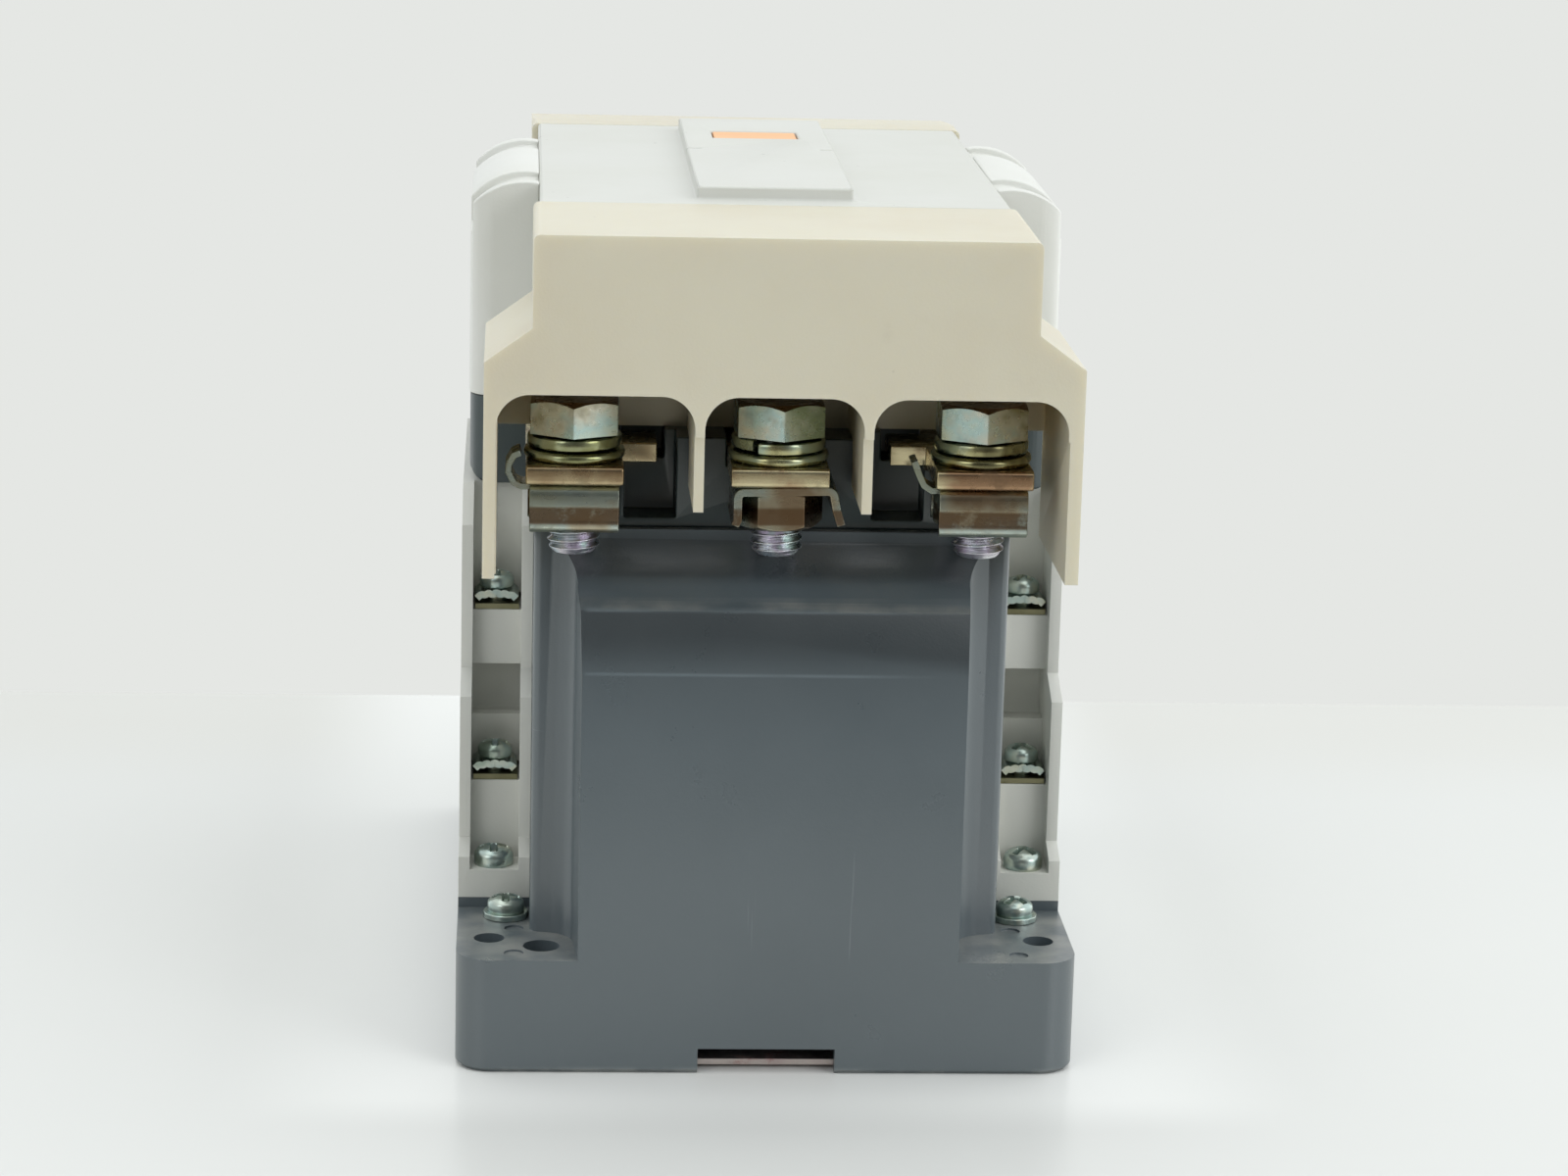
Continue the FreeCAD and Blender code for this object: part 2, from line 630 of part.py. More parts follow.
def coil_bobbin():
    ix = CORE_LEG + BOBBIN_GAP
    iy = CORE_HALF_Y + BOBBIN_GAP
    ox = ix + BOBBIN_WALL
    oy = iy + BOBBIN_WALL
    core = tube(ox, oy, ix, iy, YOKE_TOP_Z, BOBBIN_TOP_Z)
    low = tube(FLANGE_HALF_X, FLANGE_HALF_Y, ix, iy, YOKE_TOP_Z, YOKE_TOP_Z + FLANGE_T)
    high = tube(FLANGE_HALF_X, FLANGE_HALF_Y, ix, iy, BOBBIN_TOP_Z - FLANGE_T, BOBBIN_TOP_Z)
    return join([core, low, high])


def coil_winding():
    hx = FLANGE_HALF_X - WINDING_INSET
    hy = FLANGE_HALF_Y - WINDING_INSET
    z0 = YOKE_TOP_Z + FLANGE_T
    z1 = BOBBIN_TOP_Z - FLANGE_T
    block = box(-hx, hx, -hy, hy, z0, z1)
    block = block.makeFillet(6.0, upright_edges(block))
    wx = CORE_LEG + BOBBIN_GAP + BOBBIN_WALL
    wy = CORE_HALF_Y + BOBBIN_GAP + BOBBIN_WALL
    return block.cut(box(-wx, wx, -wy, wy, z0 - 1, z1 + 1))


def coil_terminal_plates():
    plates = []
    for sx in (-1, 1):
        x = sx * COIL_TERM_X
        hw = COIL_TERM_HALF_W - 1 - SEAT_GAP
        y1 = FOOT_HALF_Y - 2
        plate = box(x - hw, x + hw, CAVITY_HALF_Y - 6, y1, COIL_TERM_Z, COIL_TERM_Z + COIL_PLATE_T)
        hole = rod(BASE_SCREW_R + SHAFT_GAP, x, COIL_TERM_Y, COIL_TERM_Z - 1, COIL_TERM_Z + 3)
        plates.append(carve(plate, [hole]))
    return Part.makeCompound(plates)


def coil_terminal_screws():
    screws = []
    for sx in (-1, 1):
        seat = COIL_TERM_Z + COIL_PLATE_T
        tip = COIL_TERM_Z - SCREW_DEPTH
        one = pan_screw(sx * COIL_TERM_X, COIL_TERM_Y, seat, BASE_HEAD_R, BASE_HEAD_H, BASE_SCREW_R, tip)
        screws.append(one)
    return Part.makeCompound(screws)


def return_spring(sy):
    return spring(0, sy * SPRING_Y, BOBBIN_TOP_Z, ARMATURE_TOP_Z, SPRING_R, SPRING_WIRE, 5)


def armature():
    yoke = box(-CORE_HALF_X, CORE_HALF_X, -CORE_HALF_Y, CORE_HALF_Y, ARMATURE_YOKE_Z, ARMATURE_TOP_Z)
    middle = box(-CORE_LEG, CORE_LEG, -CORE_HALF_Y, CORE_HALF_Y, ARMATURE_Z, ARMATURE_TOP_Z)
    inner = CORE_HALF_X - CORE_LEG
    leg = box(inner, CORE_HALF_X, -CORE_HALF_Y, CORE_HALF_Y, ARMATURE_Z, ARMATURE_TOP_Z)
    shape = join([yoke, middle, leg, flip_x(leg)])
    return carve(shape, [retainer(SHAFT_GAP)])


def retainer(gap):
    z = ARMATURE_YOKE_Z + YOKE_H / 2
    y = CORE_HALF_Y + 3.4
    return Part.makeCylinder(RETAINER_R + gap, 2 * y, V(0, -y, z), V(0, 1, 0))


def slider_x0():
    return AUX_MID_X - SLIDER_HALF_X


def contact_carrier():
    t = CARRIER_HALF_Y
    parts = [box(-CARRIER_PLATE_X, CARRIER_PLATE_X, -CARRIER_PLATE_Y, CARRIER_PLATE_Y, ARMATURE_TOP_Z, CARRIER_TOP_Z)]
    parts.append(box(-COLUMN_HALF_X, COLUMN_HALF_X, -t, t, CARRIER_TOP_Z - 1, BEAM_Z + 1))
    beam_x = POLE_PITCH + POST_HALF_X
    parts.append(box(-beam_x, beam_x, -t, t, BEAM_Z, BEAM_Z + BEAM_H))
    for x in POLES:
        parts.append(box(x - POST_HALF_X, x + POST_HALF_X, -t, t, BEAM_Z, POST_TOP_Z))
    lug_z = ARMATURE_YOKE_Z + YOKE_H / 2 - RETAINER_R - 1.5
    lug = box(-RETAINER_R - 1.5, RETAINER_R + 1.5, CORE_HALF_Y, CORE_HALF_Y + 3.4, lug_z, ARMATURE_TOP_Z + 1)
    parts += [lug, flip_y(lug)]
    arm = box(CARRIER_PLATE_X - 1, slider_x0(), -arm_half(), arm_half(), ARMATURE_TOP_Z + 1, CARRIER_TOP_Z - 0.5)
    parts += [arm, flip_x(arm)]
    cuts = [retainer(SHAFT_GAP)]
    for x in POLES:
        wx = BRIDGE_HALF_X + WINDOW_GAP
        cuts.append(box(x - wx, x + wx, -t - 1, t + 1, BRIDGE_Z, WINDOW_TOP_Z))
    return carve(join(parts), cuts)


def aux_slider(sx):
    z0 = AUX_FLOOR2_Z + AUX_PLATE_T + AUX_GAP - 3
    z1 = AUX_FLOOR1_Z + AUX_PLATE_T + AUX_GAP + 4
    shape = box(slider_x0(), AUX_MID_X + SLIDER_HALF_X, -SLIDER_HALF_Y, SLIDER_HALF_Y, z0, z1)
    shape = carve(shape, [aux_bridge(z) for z in aux_bridge_heights()])
    return shape if sx > 0 else flip_x(shape)


def aux_bridge_heights():
    return [z + AUX_PLATE_T + AUX_GAP for z in (AUX_FLOOR2_Z, AUX_FLOOR1_Z)]


def aux_bridge(z):
    x0 = AUX_MID_X - AUX_BRIDGE_HALF_X
    x1 = AUX_MID_X + AUX_BRIDGE_HALF_X
    return box(x0, x1, -AUX_BRIDGE_HALF_Y, AUX_BRIDGE_HALF_Y, z, z + AUX_PLATE_T)


def aux_contact_bridges(sx):
    shape = Part.makeCompound([aux_bridge(z) for z in aux_bridge_heights()])
    return shape if sx > 0 else flip_x(shape)


def contact_bridge(x):
    strip = box(x - BRIDGE_HALF_X, x + BRIDGE_HALF_X, -BRIDGE_HALF_Y, BRIDGE_HALF_Y, BRIDGE_Z, BRIDGE_TOP_Z)
    tip = tip_block(x, BRIDGE_TIP_Z)
    return Part.makeCompound([strip, tip, flip_y(tip)])


def tip_block(x, z):
    return box(x - TIP_HALF_X, x + TIP_HALF_X, TIP_Y - TIP_HALF_Y, TIP_Y + TIP_HALF_Y, z, z + TIP_T)


def fixed_contact_tips():
    tips = [tip_block(x, BAR_TOP_Z) for x in POLES]
    return Part.makeCompound(tips + [flip_y(s) for s in tips])


def contact_spring(x):
    return spring(x, 0, BRIDGE_TOP_Z, WINDOW_TOP_Z, CONTACT_SPRING_R, CONTACT_SPRING_WIRE, 4)


def upper_frame():
    sh = SHOULDER_HALF_X
    narrow = box(-BODY_HALF_X, BODY_HALF_X, -FRAME_HALF_Y, FRAME_HALF_Y, SPLIT_Z, FRAME_TOP_Z)
    wide = box(-sh, sh, -ARC_HALF_Y, ARC_HALF_Y, SPLIT_Z, FRAME_TOP_Z)
    wide = wide.makeFillet(ARC_CORNER_R, upright_edges(wide))
    bowl = box(-sh, sh, -ARC_HALF_Y, ARC_HALF_Y, SPLIT_Z, FRAME_TOP_Z)
    low = [e for e in bowl.Edges if e.BoundBox.ZMax < SPLIT_Z + 0.01 and e.BoundBox.YLength > 1]
    wide = wide.common(bowl.makeFillet(SHOULDER_R, low))
    shape = join([narrow, wide])
    t = CARRIER_HALF_Y + RUN_GAP
    cx = COLUMN_HALF_X + RUN_GAP
    bx = POLE_PITCH + POST_HALF_X + RUN_GAP
    cuts = [box(-cx, cx, -t, t, SPLIT_Z - 1, FRAME_TOP_Z + 1)]
    cuts.append(box(-bx, bx, -t, t, FRAME_FLOOR_Z, FRAME_TOP_Z + 1))
    for sy in (-1, 1):
        for x in POLES:
            w = BAR_HALF_W + SEAT_GAP
            x0 = -FAR if x < 0 else x - w
            x1 = FAR if x > 0 else x + w
            outer = box(x0, x1, ARC_HALF_Y, FRAME_HALF_Y + 1, BAR_Z, FRAME_TOP_Z + 1)
            inner = box(x - w, x + w, t - 1, ARC_HALF_Y + 1, BAR_Z, FRAME_TOP_Z + 1)
            low = liner(x - LINER_HALF_X, x + LINER_HALF_X)
            if x:
                side = math.copysign(1, x)
                limits = sorted([x - side * w, x - side * (w + TAB_W)])
                tab = box(limits[0] - 1, limits[1] + 1, TAB_Y0 - SEAT_GAP, FRAME_HALF_Y + 1, BAR_Z, FRAME_TOP_Z + 1)
                ends = sorted([x - side * LINER_HALF_X, side * (CAVITY_HALF_X - WALL + SEAT_GAP)])
                low = liner(ends[0], ends[1])
                cuts.append(tab if sy > 0 else flip_y(tab))
            for tool in (outer, inner, low):
                cuts.append(tool if sy > 0 else flip_y(tool))
        for sx in (-1, 1):
            x0, x1 = sorted([sx * RECESS_X0, sx * RECESS_X1])
            y0, y1 = sorted([sy * RECESS_Y, sy * (FRAME_HALF_Y + 1)])
            cuts.append(box(x0, x1, y0, y1, RECESS_Z, FRAME_TOP_Z + 1))
    return carve(shape, cuts)


def liner(x0, x1):
    return box(x0, x1, LINER_Y, RECESS_Y - WALL - 1, SPLIT_Z - 1, BAR_Z - LINER_ROOF_T)


def contact_bar(x):
    w = BAR_HALF_W
    bar = box(x - w, x + w, BAR_INNER_Y, BAR_END_Y, BAR_Z, BAR_TOP_Z)
    ends = [e for e in bar.Edges if e.BoundBox.YMin > BAR_END_Y - 0.01 and e.BoundBox.XLength > w]
    bar = bar.makeFillet(0.8, ends)
    if x:
        side = math.copysign(1, x)
        limits = sorted([x - side * (w - 1), x - side * (w + TAB_W)])
        bar = join([bar, box(limits[0], limits[1], TAB_Y0, TAB_Y1, BAR_Z, BAR_TOP_Z)])
    return carve(bar, [rod(BOLT_R + HOLE_GAP, x, BOLT_Y, BAR_Z - 1, BAR_TOP_Z + 1)])


def terminal_bolts():
    bolts = []
    for x in POLES:
        head = hexagon(HEX_AF, x, BOLT_Y, HEAD_Z, HEAD_Z + HEAD_H, 30)
        cap = Part.makeCone(HEX_AF * 0.74, HEX_AF * 0.47, HEAD_H * 1.0, V(x, BOLT_Y, HEAD_Z + HEAD_H * 0.55))
        low = rod(HEX_AF, x, BOLT_Y, HEAD_Z - 1, HEAD_Z + HEAD_H * 0.6)
        head = head.common(join([low, cap]))
        steps = [(BOLT_R - 0.8, BOLT_TIP_Z), (BOLT_R, BOLT_TIP_Z + 0.8), (BOLT_R, HEAD_Z)]
        shank = stack(x, BOLT_Y, ROUND_SIDES, steps)
        bolts.append(join([head, shank]))
    return Part.makeCompound(bolts)


def washers(radius, z0, thick):
    hole = BOLT_R + HOLE_GAP
    return Part.makeCompound([flat_ring(radius, hole, x, BOLT_Y, z0, z0 + thick, ROUND_SIDES) for x in POLES])


def terminal_nuts():
    nuts = []
    top = BAR_Z - CLIP_T
    for x in POLES:
        nut = hexagon(NUT_AF, x, BOLT_Y, top - NUT_H, top, 0 if x else 30)
        r = BOLT_R + SHAFT_GAP
        nuts.append(nut.cut(stack(x, BOLT_Y, ROUND_SIDES, [(r, top - NUT_H - 1), (r, top + 1)])))
    return Part.makeCompound(nuts)


def nut_clip(x):
    inner = NUT_AF / 2 + SHAFT_GAP
    outer = inner + CLIP_T
    w = CLIP_HALF_W
    top = box(x - w, x + w, BOLT_Y - outer, BOLT_Y + outer, BAR_Z - CLIP_T, BAR_Z)
    leg1 = box(x - w, x + w, BOLT_Y - outer, BOLT_Y - inner, CLIP_LEG_Z, BAR_Z)
    leg2 = box(x - w, x + w, BOLT_Y + inner, BOLT_Y + outer, CLIP_LEG_Z, BAR_Z)
    r = BOLT_R + HOLE_GAP
    hole = stack(x, BOLT_Y, ROUND_SIDES, [(r, BAR_Z - CLIP_T - 1), (r, BAR_Z + 1)])
    clip = carve(join([top, leg1, leg2]), [hole])
    if x:
        e = x - BAR_HALF_W - 0.5
        z = BAR_Z - CLIP_T
        pts = [(x - w, z), (e - 2.2, z + 0.6), (e - 2.9, z + 4.4), (e - 2.0, z + 4.4)]
        pts += [(e - 1.3, z + 1.5), (e, z + CLIP_T), (x - w, z + CLIP_T)]
        return join([clip, prism_y(pts, BOLT_Y - 3, BOLT_Y + 3)])
    return turned(clip, x, BOLT_Y, 90)


def nut_clips():
    return Part.makeCompound([nut_clip(x) for x in POLES])


def indicator():
    stem_y = CARRIER_HALF_Y - 0.5
    z0 = ROOF_TOP_Z + STROKE + RUN_GAP
    arm_top = COVER_TOP_Z - 0.2
    sx = INDICATOR_STEM_X
    stem = box(-sx, sx, 0, stem_y, POST_TOP_Z, arm_top)
    arm = box(-sx, sx, 0, INDICATOR_Y1, z0, arm_top)
    hx = INDICATOR_HALF_X
    face = box(-hx, hx, INDICATOR_Y0, INDICATOR_Y1, z0, INDICATOR_TOP_Z)
    return join([stem, arm, face])


def arc_outline(grow):
    hx = ARC_HALF_X - grow
    a = V(hx, 0, FRAME_TOP_Z)
    b = V(hx, 0, ARC_EDGE_Z - grow)
    m = V(hx - 3.2, 0, ARC_EDGE_Z - grow + 2.7)
    c = V(NARROW_HALF_X, 0, ARC_TOP_Z - grow)
    d = V(NARROW_HALF_X, 0, ROOF_Z)
    e = V(0, 0, ROOF_Z)
    f = V(0, 0, FRAME_TOP_Z)
    edges = [Part.makeLine(a, b), Part.Arc(b, m, c).toShape(), Part.makeLine(c, d)]
    edges += [Part.makeLine(d, e), Part.makeLine(e, f), Part.makeLine(f, a)]
    return Part.Face(Part.Wire(edges))


def arc_half(grow, half_y):
    face = arc_outline(grow)
    face.translate(V(0, -half_y, 0))
    return face.extrude(V(0, 2 * half_y, 0))


def arc_cover():
    right = arc_half(0.0, ARC_HALF_Y)
    corner = [e for e in upright_edges(right, ARC_HALF_X - 0.5)]
    right = right.makeFillet(ARC_CORNER_R, corner)
    groove_y = ARC_HALF_Y - 2.6 - ARC_GROOVE_W
    band = arc_half(0.0, ARC_HALF_Y - 2.6).cut(arc_half(ARC_GROOVE, ARC_HALF_Y))
    band = band.common(box(NARROW_HALF_X, FAR, -FAR, FAR, ARC_EDGE_Z - 4, 2 * FAR))
    band = carve(band, [box(0, FAR, -groove_y, groove_y, 0, 2 * FAR)])
    right = carve(right, [band])
    roof = box(-NARROW_HALF_X, NARROW_HALF_X, -NARROW_HALF_Y, NARROW_HALF_Y, FRAME_TOP_Z, ROOF_TOP_Z)
    shape = join([right, flip_x(right), roof])
    w = ARC_WALL
    cuts = []
    edges_x = [-ARC_HALF_X + w, -POLE_PITCH / 2 - POLE_WALL_T / 2, -POLE_PITCH / 2 + POLE_WALL_T / 2]
    edges_x += [-edges_x[2], -edges_x[1], -edges_x[0]]
    y = ARC_HALF_Y - w
    for i in (0, 2, 4):
        cuts.append(box(edges_x[i], edges_x[i + 1], -y, y, FRAME_TOP_Z - 1, ROOF_Z))
        nx0 = max(edges_x[i], -NARROW_HALF_X + w)
        nx1 = min(edges_x[i + 1], NARROW_HALF_X - w)
        end = box(nx0, nx1, ARC_HALF_Y, NARROW_HALF_Y - w, FRAME_TOP_Z - 1, ROOF_Z)
        cuts += [end, flip_y(end)]
    t = CARRIER_HALF_Y + RUN_GAP
    bx = POLE_PITCH + POST_HALF_X + RUN_GAP
    cuts.append(box(-bx, bx, -t, t, FRAME_TOP_Z - 1, BEAM_Z + BEAM_H + RUN_GAP))
    for x in POLES:
        door = box(x - BAR_HALF_W, x + BAR_HALF_W, y - 1, ARC_HALF_Y + 1, FRAME_TOP_Z - 1, FRAME_TOP_Z + 1)
        cuts += [door, flip_y(door)]
    sx = INDICATOR_STEM_X + INDICATOR_GAP
    cuts.append(box(-sx, sx, -INDICATOR_GAP, CARRIER_HALF_Y + SEAT_GAP, ROOF_Z - 1, ROOF_TOP_Z + 1))
    return carve(shape, cuts)


def deion_plates():
    plates = []
    y1 = ARC_HALF_Y - ARC_WALL
    for x in POLES:
        for i in range(DEION_COUNT):
            z = DEION_Z0 + i * DEION_PITCH
            w = DEION_HALF_X
            pts = [(x - w, DEION_Y0), (x - 5, DEION_Y0), (x, DEION_Y0 + 3.5), (x + 5, DEION_Y0)]
            pts += [(x + w, DEION_Y0), (x + w, y1), (x - w, y1)]
            plates.append(prism_z(pts, z, z + DEION_T))
    return Part.makeCompound(plates)


def front_cover():
    hx = NARROW_HALF_X
    hy = NARROW_HALF_Y
    outer = box(-hx, hx, -hy, hy, ROOF_TOP_Z, COVER_TOP_Z)
    rim = [e for e in outer.Edges if e.BoundBox.ZMin > COVER_TOP_Z - 0.01]
    outer = outer.makeFillet(COVER_EDGE, rim)
    panel = box(-PANEL_HALF_X, PANEL_HALF_X, -PANEL_HALF_Y, PANEL_HALF_Y, COVER_TOP_Z - 1, COVER_TOP_Z + PANEL_H)
    rim = [e for e in panel.Edges if e.BoundBox.ZMin > COVER_TOP_Z + PANEL_H - 0.01]
    panel = panel.makeFillet(PANEL_EDGE, rim)
    shape = join([outer, panel])
    t = COVER_WALL
    cuts = [box(-hx + t, hx - t, -hy + t, hy - t, ROOF_TOP_Z - 1, COVER_TOP_Z - t)]
    inner_x = PANEL_HALF_X - t
    inner_y = PANEL_HALF_Y - t
    cuts.append(box(-inner_x, inner_x, -inner_y, inner_y, ROOF_TOP_Z, COVER_TOP_Z + PANEL_H - t))
    wx = INDICATOR_HALF_X + INDICATOR_GAP
    y0 = INDICATOR_Y0 - INDICATOR_GAP
    y1 = INDICATOR_Y1 + INDICATOR_GAP
    cuts.append(box(-wx, wx, y0, y1, COVER_TOP_Z - t - 1, COVER_TOP_Z + PANEL_H + 1))
    tick_x = PANEL_HALF_X - TICK_LENGTH
    tick_z = COVER_TOP_Z + PANEL_H
    tick = box(tick_x, PANEL_HALF_X + 1, TICK_Y, TICK_Y + TICK_W, tick_z - 1.2, tick_z + 1)
    cuts += [tick, flip_x(tick)]
    return carve(shape, cuts)


def shroud_polygon(inset):
    t = inset
    top = COVER_TOP_Z - t
    side = SHROUD_HALF_X - t
    ear = EAR_HALF_X - t
    knee = SHROUD_SIDE_Z - t * 0.45
    shoulder = EAR_TOP_Z - t * 0.45
    low = EAR_BOTTOM_Z - (1 if t else 0)
    right = [(side, top), (side, knee), (ear, shoulder), (ear, low)]
    return right + [(-x, z) for x, z in reversed(right)]


def arch_tool(x0, x1):
    tool = box(x0, x1, -SHROUD_Y - 1, -SHROUD_Y + SHROUD_WALL + 1, EAR_BOTTOM_Z - 1, ARCH_TOP_Z)
    picked = []
    for e in tool.Edges:
        if e.BoundBox.ZMin > ARCH_TOP_Z - 0.01 and e.BoundBox.YLength > 1:
            picked.append(e)
    return tool.makeFillet(ARCH_R, picked)


def terminal_cover(drop):
    w = SHROUD_WALL
    outer = prism_y(shroud_polygon(0), -SHROUD_Y, -NARROW_HALF_Y)
    ends = [e for e in outer.Edges if e.BoundBox.ZMin > COVER_TOP_Z - 0.01 and e.BoundBox.YLength > 1]
    outer = outer.makeFillet(1.0, ends)
    back = -NARROW_HALF_Y - w
    room = prism_y(shroud_polygon(w), -SHROUD_Y + w, back)
    cuts = [carve(room, [drop_tool(drop, w)]) if drop else room]
    ear_in = EAR_HALF_X - w
    low = EAR_BOTTOM_Z - 1
    cuts.append(box(-ear_in, ear_in, -SHROUD_Y - 1, -SHROUD_Y + w + 1, low, PIER_Z))
    cuts.append(box(-ear_in, ear_in, back - 1, -NARROW_HALF_Y + 1, low, FRAME_TOP_Z))
    p = PARTITION_X
    cuts.append(arch_tool(-ear_in - 0.2, -p - 0.7))
    cuts.append(arch_tool(-p + 0.7, p - 0.7))
    cuts.append(arch_tool(p + 0.7, ear_in - 0.2))
    shape = carve(outer, cuts)
    y0 = -SHROUD_Y + w - 0.5
    seat = FRAME_TOP_Z + 0.2
    top = COVER_TOP_Z - w + 0.5
    pts = [(y0, PARTITION_Z), (-PARTITION_Y, PARTITION_Z), (-PARTITION_Y, seat)]
    pts += [(back + 0.5, seat), (back + 0.5, top), (y0, top)]
    walls = [prism_x(pts, x - PIER_T / 2, x + PIER_T / 2) for x in (-p, p)]
    shape = join([shape] + walls)
    return carve(shape, [drop_tool(drop, 0)]) if drop else shape


def drop_tool(drop, below):
    y0 = -NARROW_HALF_Y - 6
    top = COVER_TOP_Z - below
    pts = [(-SHROUD_Y - 1, top - drop), (y0, top), (y0, top + 20), (-SHROUD_Y - 1, top + 20)]
    return prism_x(pts, -FAR, FAR)


def aux_outline(points):
    # The half outline runs from the foot up to the crown, mirrored about Y = 0
    return [(-y, z) for y, z in points] + [(y, z) for y, z in reversed(points)]


def aux_case(sx):
    core_pts = [(AUX_HALF_Y, STRIP_TOP_Z), (AUX_HALF_Y, AUX_LEDGE_Z), (AUX_FACE2_Y, AUX_LEDGE_Z)]
    core_pts += [(AUX_FACE2_Y, AUX_FLOOR2_Z), (AUX_BLOCK_Y, AUX_FLOOR2_Z), (AUX_BLOCK_Y, AUX_BLOCK_Z)]
    core_pts += [(AUX_POCKET_Y, AUX_BLOCK_Z), (AUX_POCKET_Y, AUX_POCKET_Z), (AUX_FACE1_Y, AUX_POCKET_Z)]
    core_pts += [(AUX_FACE1_Y, AUX_FLOOR1_Z), (AUX_BACK_Y, AUX_FLOOR1_Z), (AUX_BACK_Y, SPLIT_Z)]
    wall_pts = [(AUX_HALF_Y, STRIP_TOP_Z), (AUX_HALF_Y, AUX_LEDGE_Z + 2), (AUX_FACE2_Y + 2.5, AUX_LEDGE_Z + 4)]
    wall_pts += [(AUX_FACE2_Y + 2.5, AUX_POCKET_Z - 3), (AUX_FACE1_Y + 2.5, AUX_POCKET_Z)]
    wall_pts += [(AUX_FACE1_Y + 2.5, SPLIT_Z - 5), (AUX_BACK_Y + 2, SPLIT_Z)]
    core = prism_x(aux_outline(core_pts), BODY_HALF_X, AUX_HALF_X - 0.2)
    outer = prism_x(aux_outline(wall_pts), AUX_OUTER_X, AUX_HALF_X)
    inner = prism_x(aux_outline(wall_pts), BODY_HALF_X, AUX_INNER_X)
    shape = join([core, outer, inner])
    x0 = AUX_INNER_X
    x1 = AUX_OUTER_X
    cuts = [box(x0, x1, -AUX_CAVITY_Y, AUX_CAVITY_Y, STRIP_TOP_Z + 2, SPLIT_Z - 2)]
    cuts.append(box(BODY_HALF_X - 1, x0 + 1, -arm_room(), arm_room(), slider_slot_z(), CARRIER_TOP_Z + RUN_GAP))
    scoop = pocket_scoop(x0, x1)
    cuts += [scoop, flip_y(scoop)]
    for z, screw_y in ((AUX_FLOOR2_Z, AUX_SCREW2_Y), (AUX_FLOOR1_Z, AUX_SCREW1_Y)):
        slot = box(x0, x1, AUX_CAVITY_Y - 1, screw_y, z, z + AUX_PLATE_T)
        hole = rod(AUX_SCREW_R + SHAFT_GAP, AUX_MID_X, screw_y, z - SCREW_DEPTH - 1, z + 1)
        cuts += [slot, flip_y(slot), hole, flip_y(hole)]
    fix = rod(AUX_FIX_R + SHAFT_GAP, AUX_MID_X, AUX_FIX_Y, STRIP_TOP_Z - 1, AUX_LEDGE_Z + 1)
    cuts += [fix, flip_y(fix)]
    shape = carve(shape, cuts)
    return shape if sx > 0 else flip_x(shape)


def pocket_scoop(x0, x1):
    # The pocket's back wall is hollowed round an axis along X
    half = (AUX_POCKET_Z - AUX_BLOCK_Z) / 2
    y = AUX_POCKET_Y + math.sqrt(AUX_POCKET_R ** 2 - half ** 2)
    barrel = Part.makeCylinder(AUX_POCKET_R, x1 - x0, V(x0, y, AUX_BLOCK_Z + half), V(1, 0, 0))
    return barrel.common(box(x0, x1, 0, y, AUX_BLOCK_Z, AUX_POCKET_Z))


def aux_terminals(sx):
    plates = []
    for z, face_y, screw_y in ((AUX_FLOOR2_Z, AUX_FACE2_Y, AUX_SCREW2_Y), (AUX_FLOOR1_Z, AUX_FACE1_Y, AUX_SCREW1_Y)):
        gap = 0.3
        plate = box(AUX_INNER_X + gap, AUX_OUTER_X - gap, AUX_PLATE_INNER_Y, face_y - gap, z, z + AUX_PLATE_T)
        plate = plate.cut(screw_hole(screw_y, z - 1, z + 3))
        plates += [plate, flip_y(plate)]
    shape = Part.makeCompound(plates)
    return shape if sx > 0 else flip_x(shape)


def screw_hole(y, z0, z1):
    r = AUX_SCREW_R + SHAFT_GAP
    return stack(AUX_MID_X, y, SMALL_SIDES, [(r, z0), (r, z1)])


def aux_clamps(sx):
    clamps = []
    for z, screw_y in ((AUX_FLOOR2_Z, AUX_SCREW2_Y), (AUX_FLOOR1_Z, AUX_SCREW1_Y)):
        z0 = z + AUX_PLATE_T
        h = AUX_CLAMP_H
        a = AUX_CLAMP_HALF
        x = AUX_MID_X
        pts = [(x - a, z0), (x - a + 1, z0), (x - 1, z0 + h - 1), (x + 1, z0 + h - 1), (x + a - 1, z0), (x + a, z0)]
        pts += [(x + a, z0 + 0.8), (x + 1.6, z0 + h), (x - 1.6, z0 + h), (x - a, z0 + 0.8)]
        clamp = prism_y(pts, screw_y - a, screw_y + a)
        clamp = clamp.cut(screw_hole(screw_y, z0 - 1, z0 + h + 1))
        clamps += [clamp, flip_y(clamp)]
    shape = Part.makeCompound(clamps)
    return shape if sx > 0 else flip_x(shape)


def aux_terminal_screws():
    screws = []
    for z, screw_y in ((AUX_FLOOR2_Z, AUX_SCREW2_Y), (AUX_FLOOR1_Z, AUX_SCREW1_Y)):
        seat = z + AUX_PLATE_T + AUX_CLAMP_H
        one = pan_screw(AUX_MID_X, screw_y, seat, AUX_HEAD_R, AUX_HEAD_H, AUX_SCREW_R, z - SCREW_DEPTH)
        screws += four(one)
    return Part.makeCompound(screws)


def aux_fixing_screws():
    tip = FOOT_HEIGHT - SCREW_DEPTH + 1
    one = pan_screw(AUX_MID_X, AUX_FIX_Y, AUX_LEDGE_Z, AUX_FIX_HEAD_R, AUX_FIX_HEAD_H, AUX_FIX_R, tip)
    return Part.makeCompound(four(one))


os.makedirs("parts", exist_ok=True)

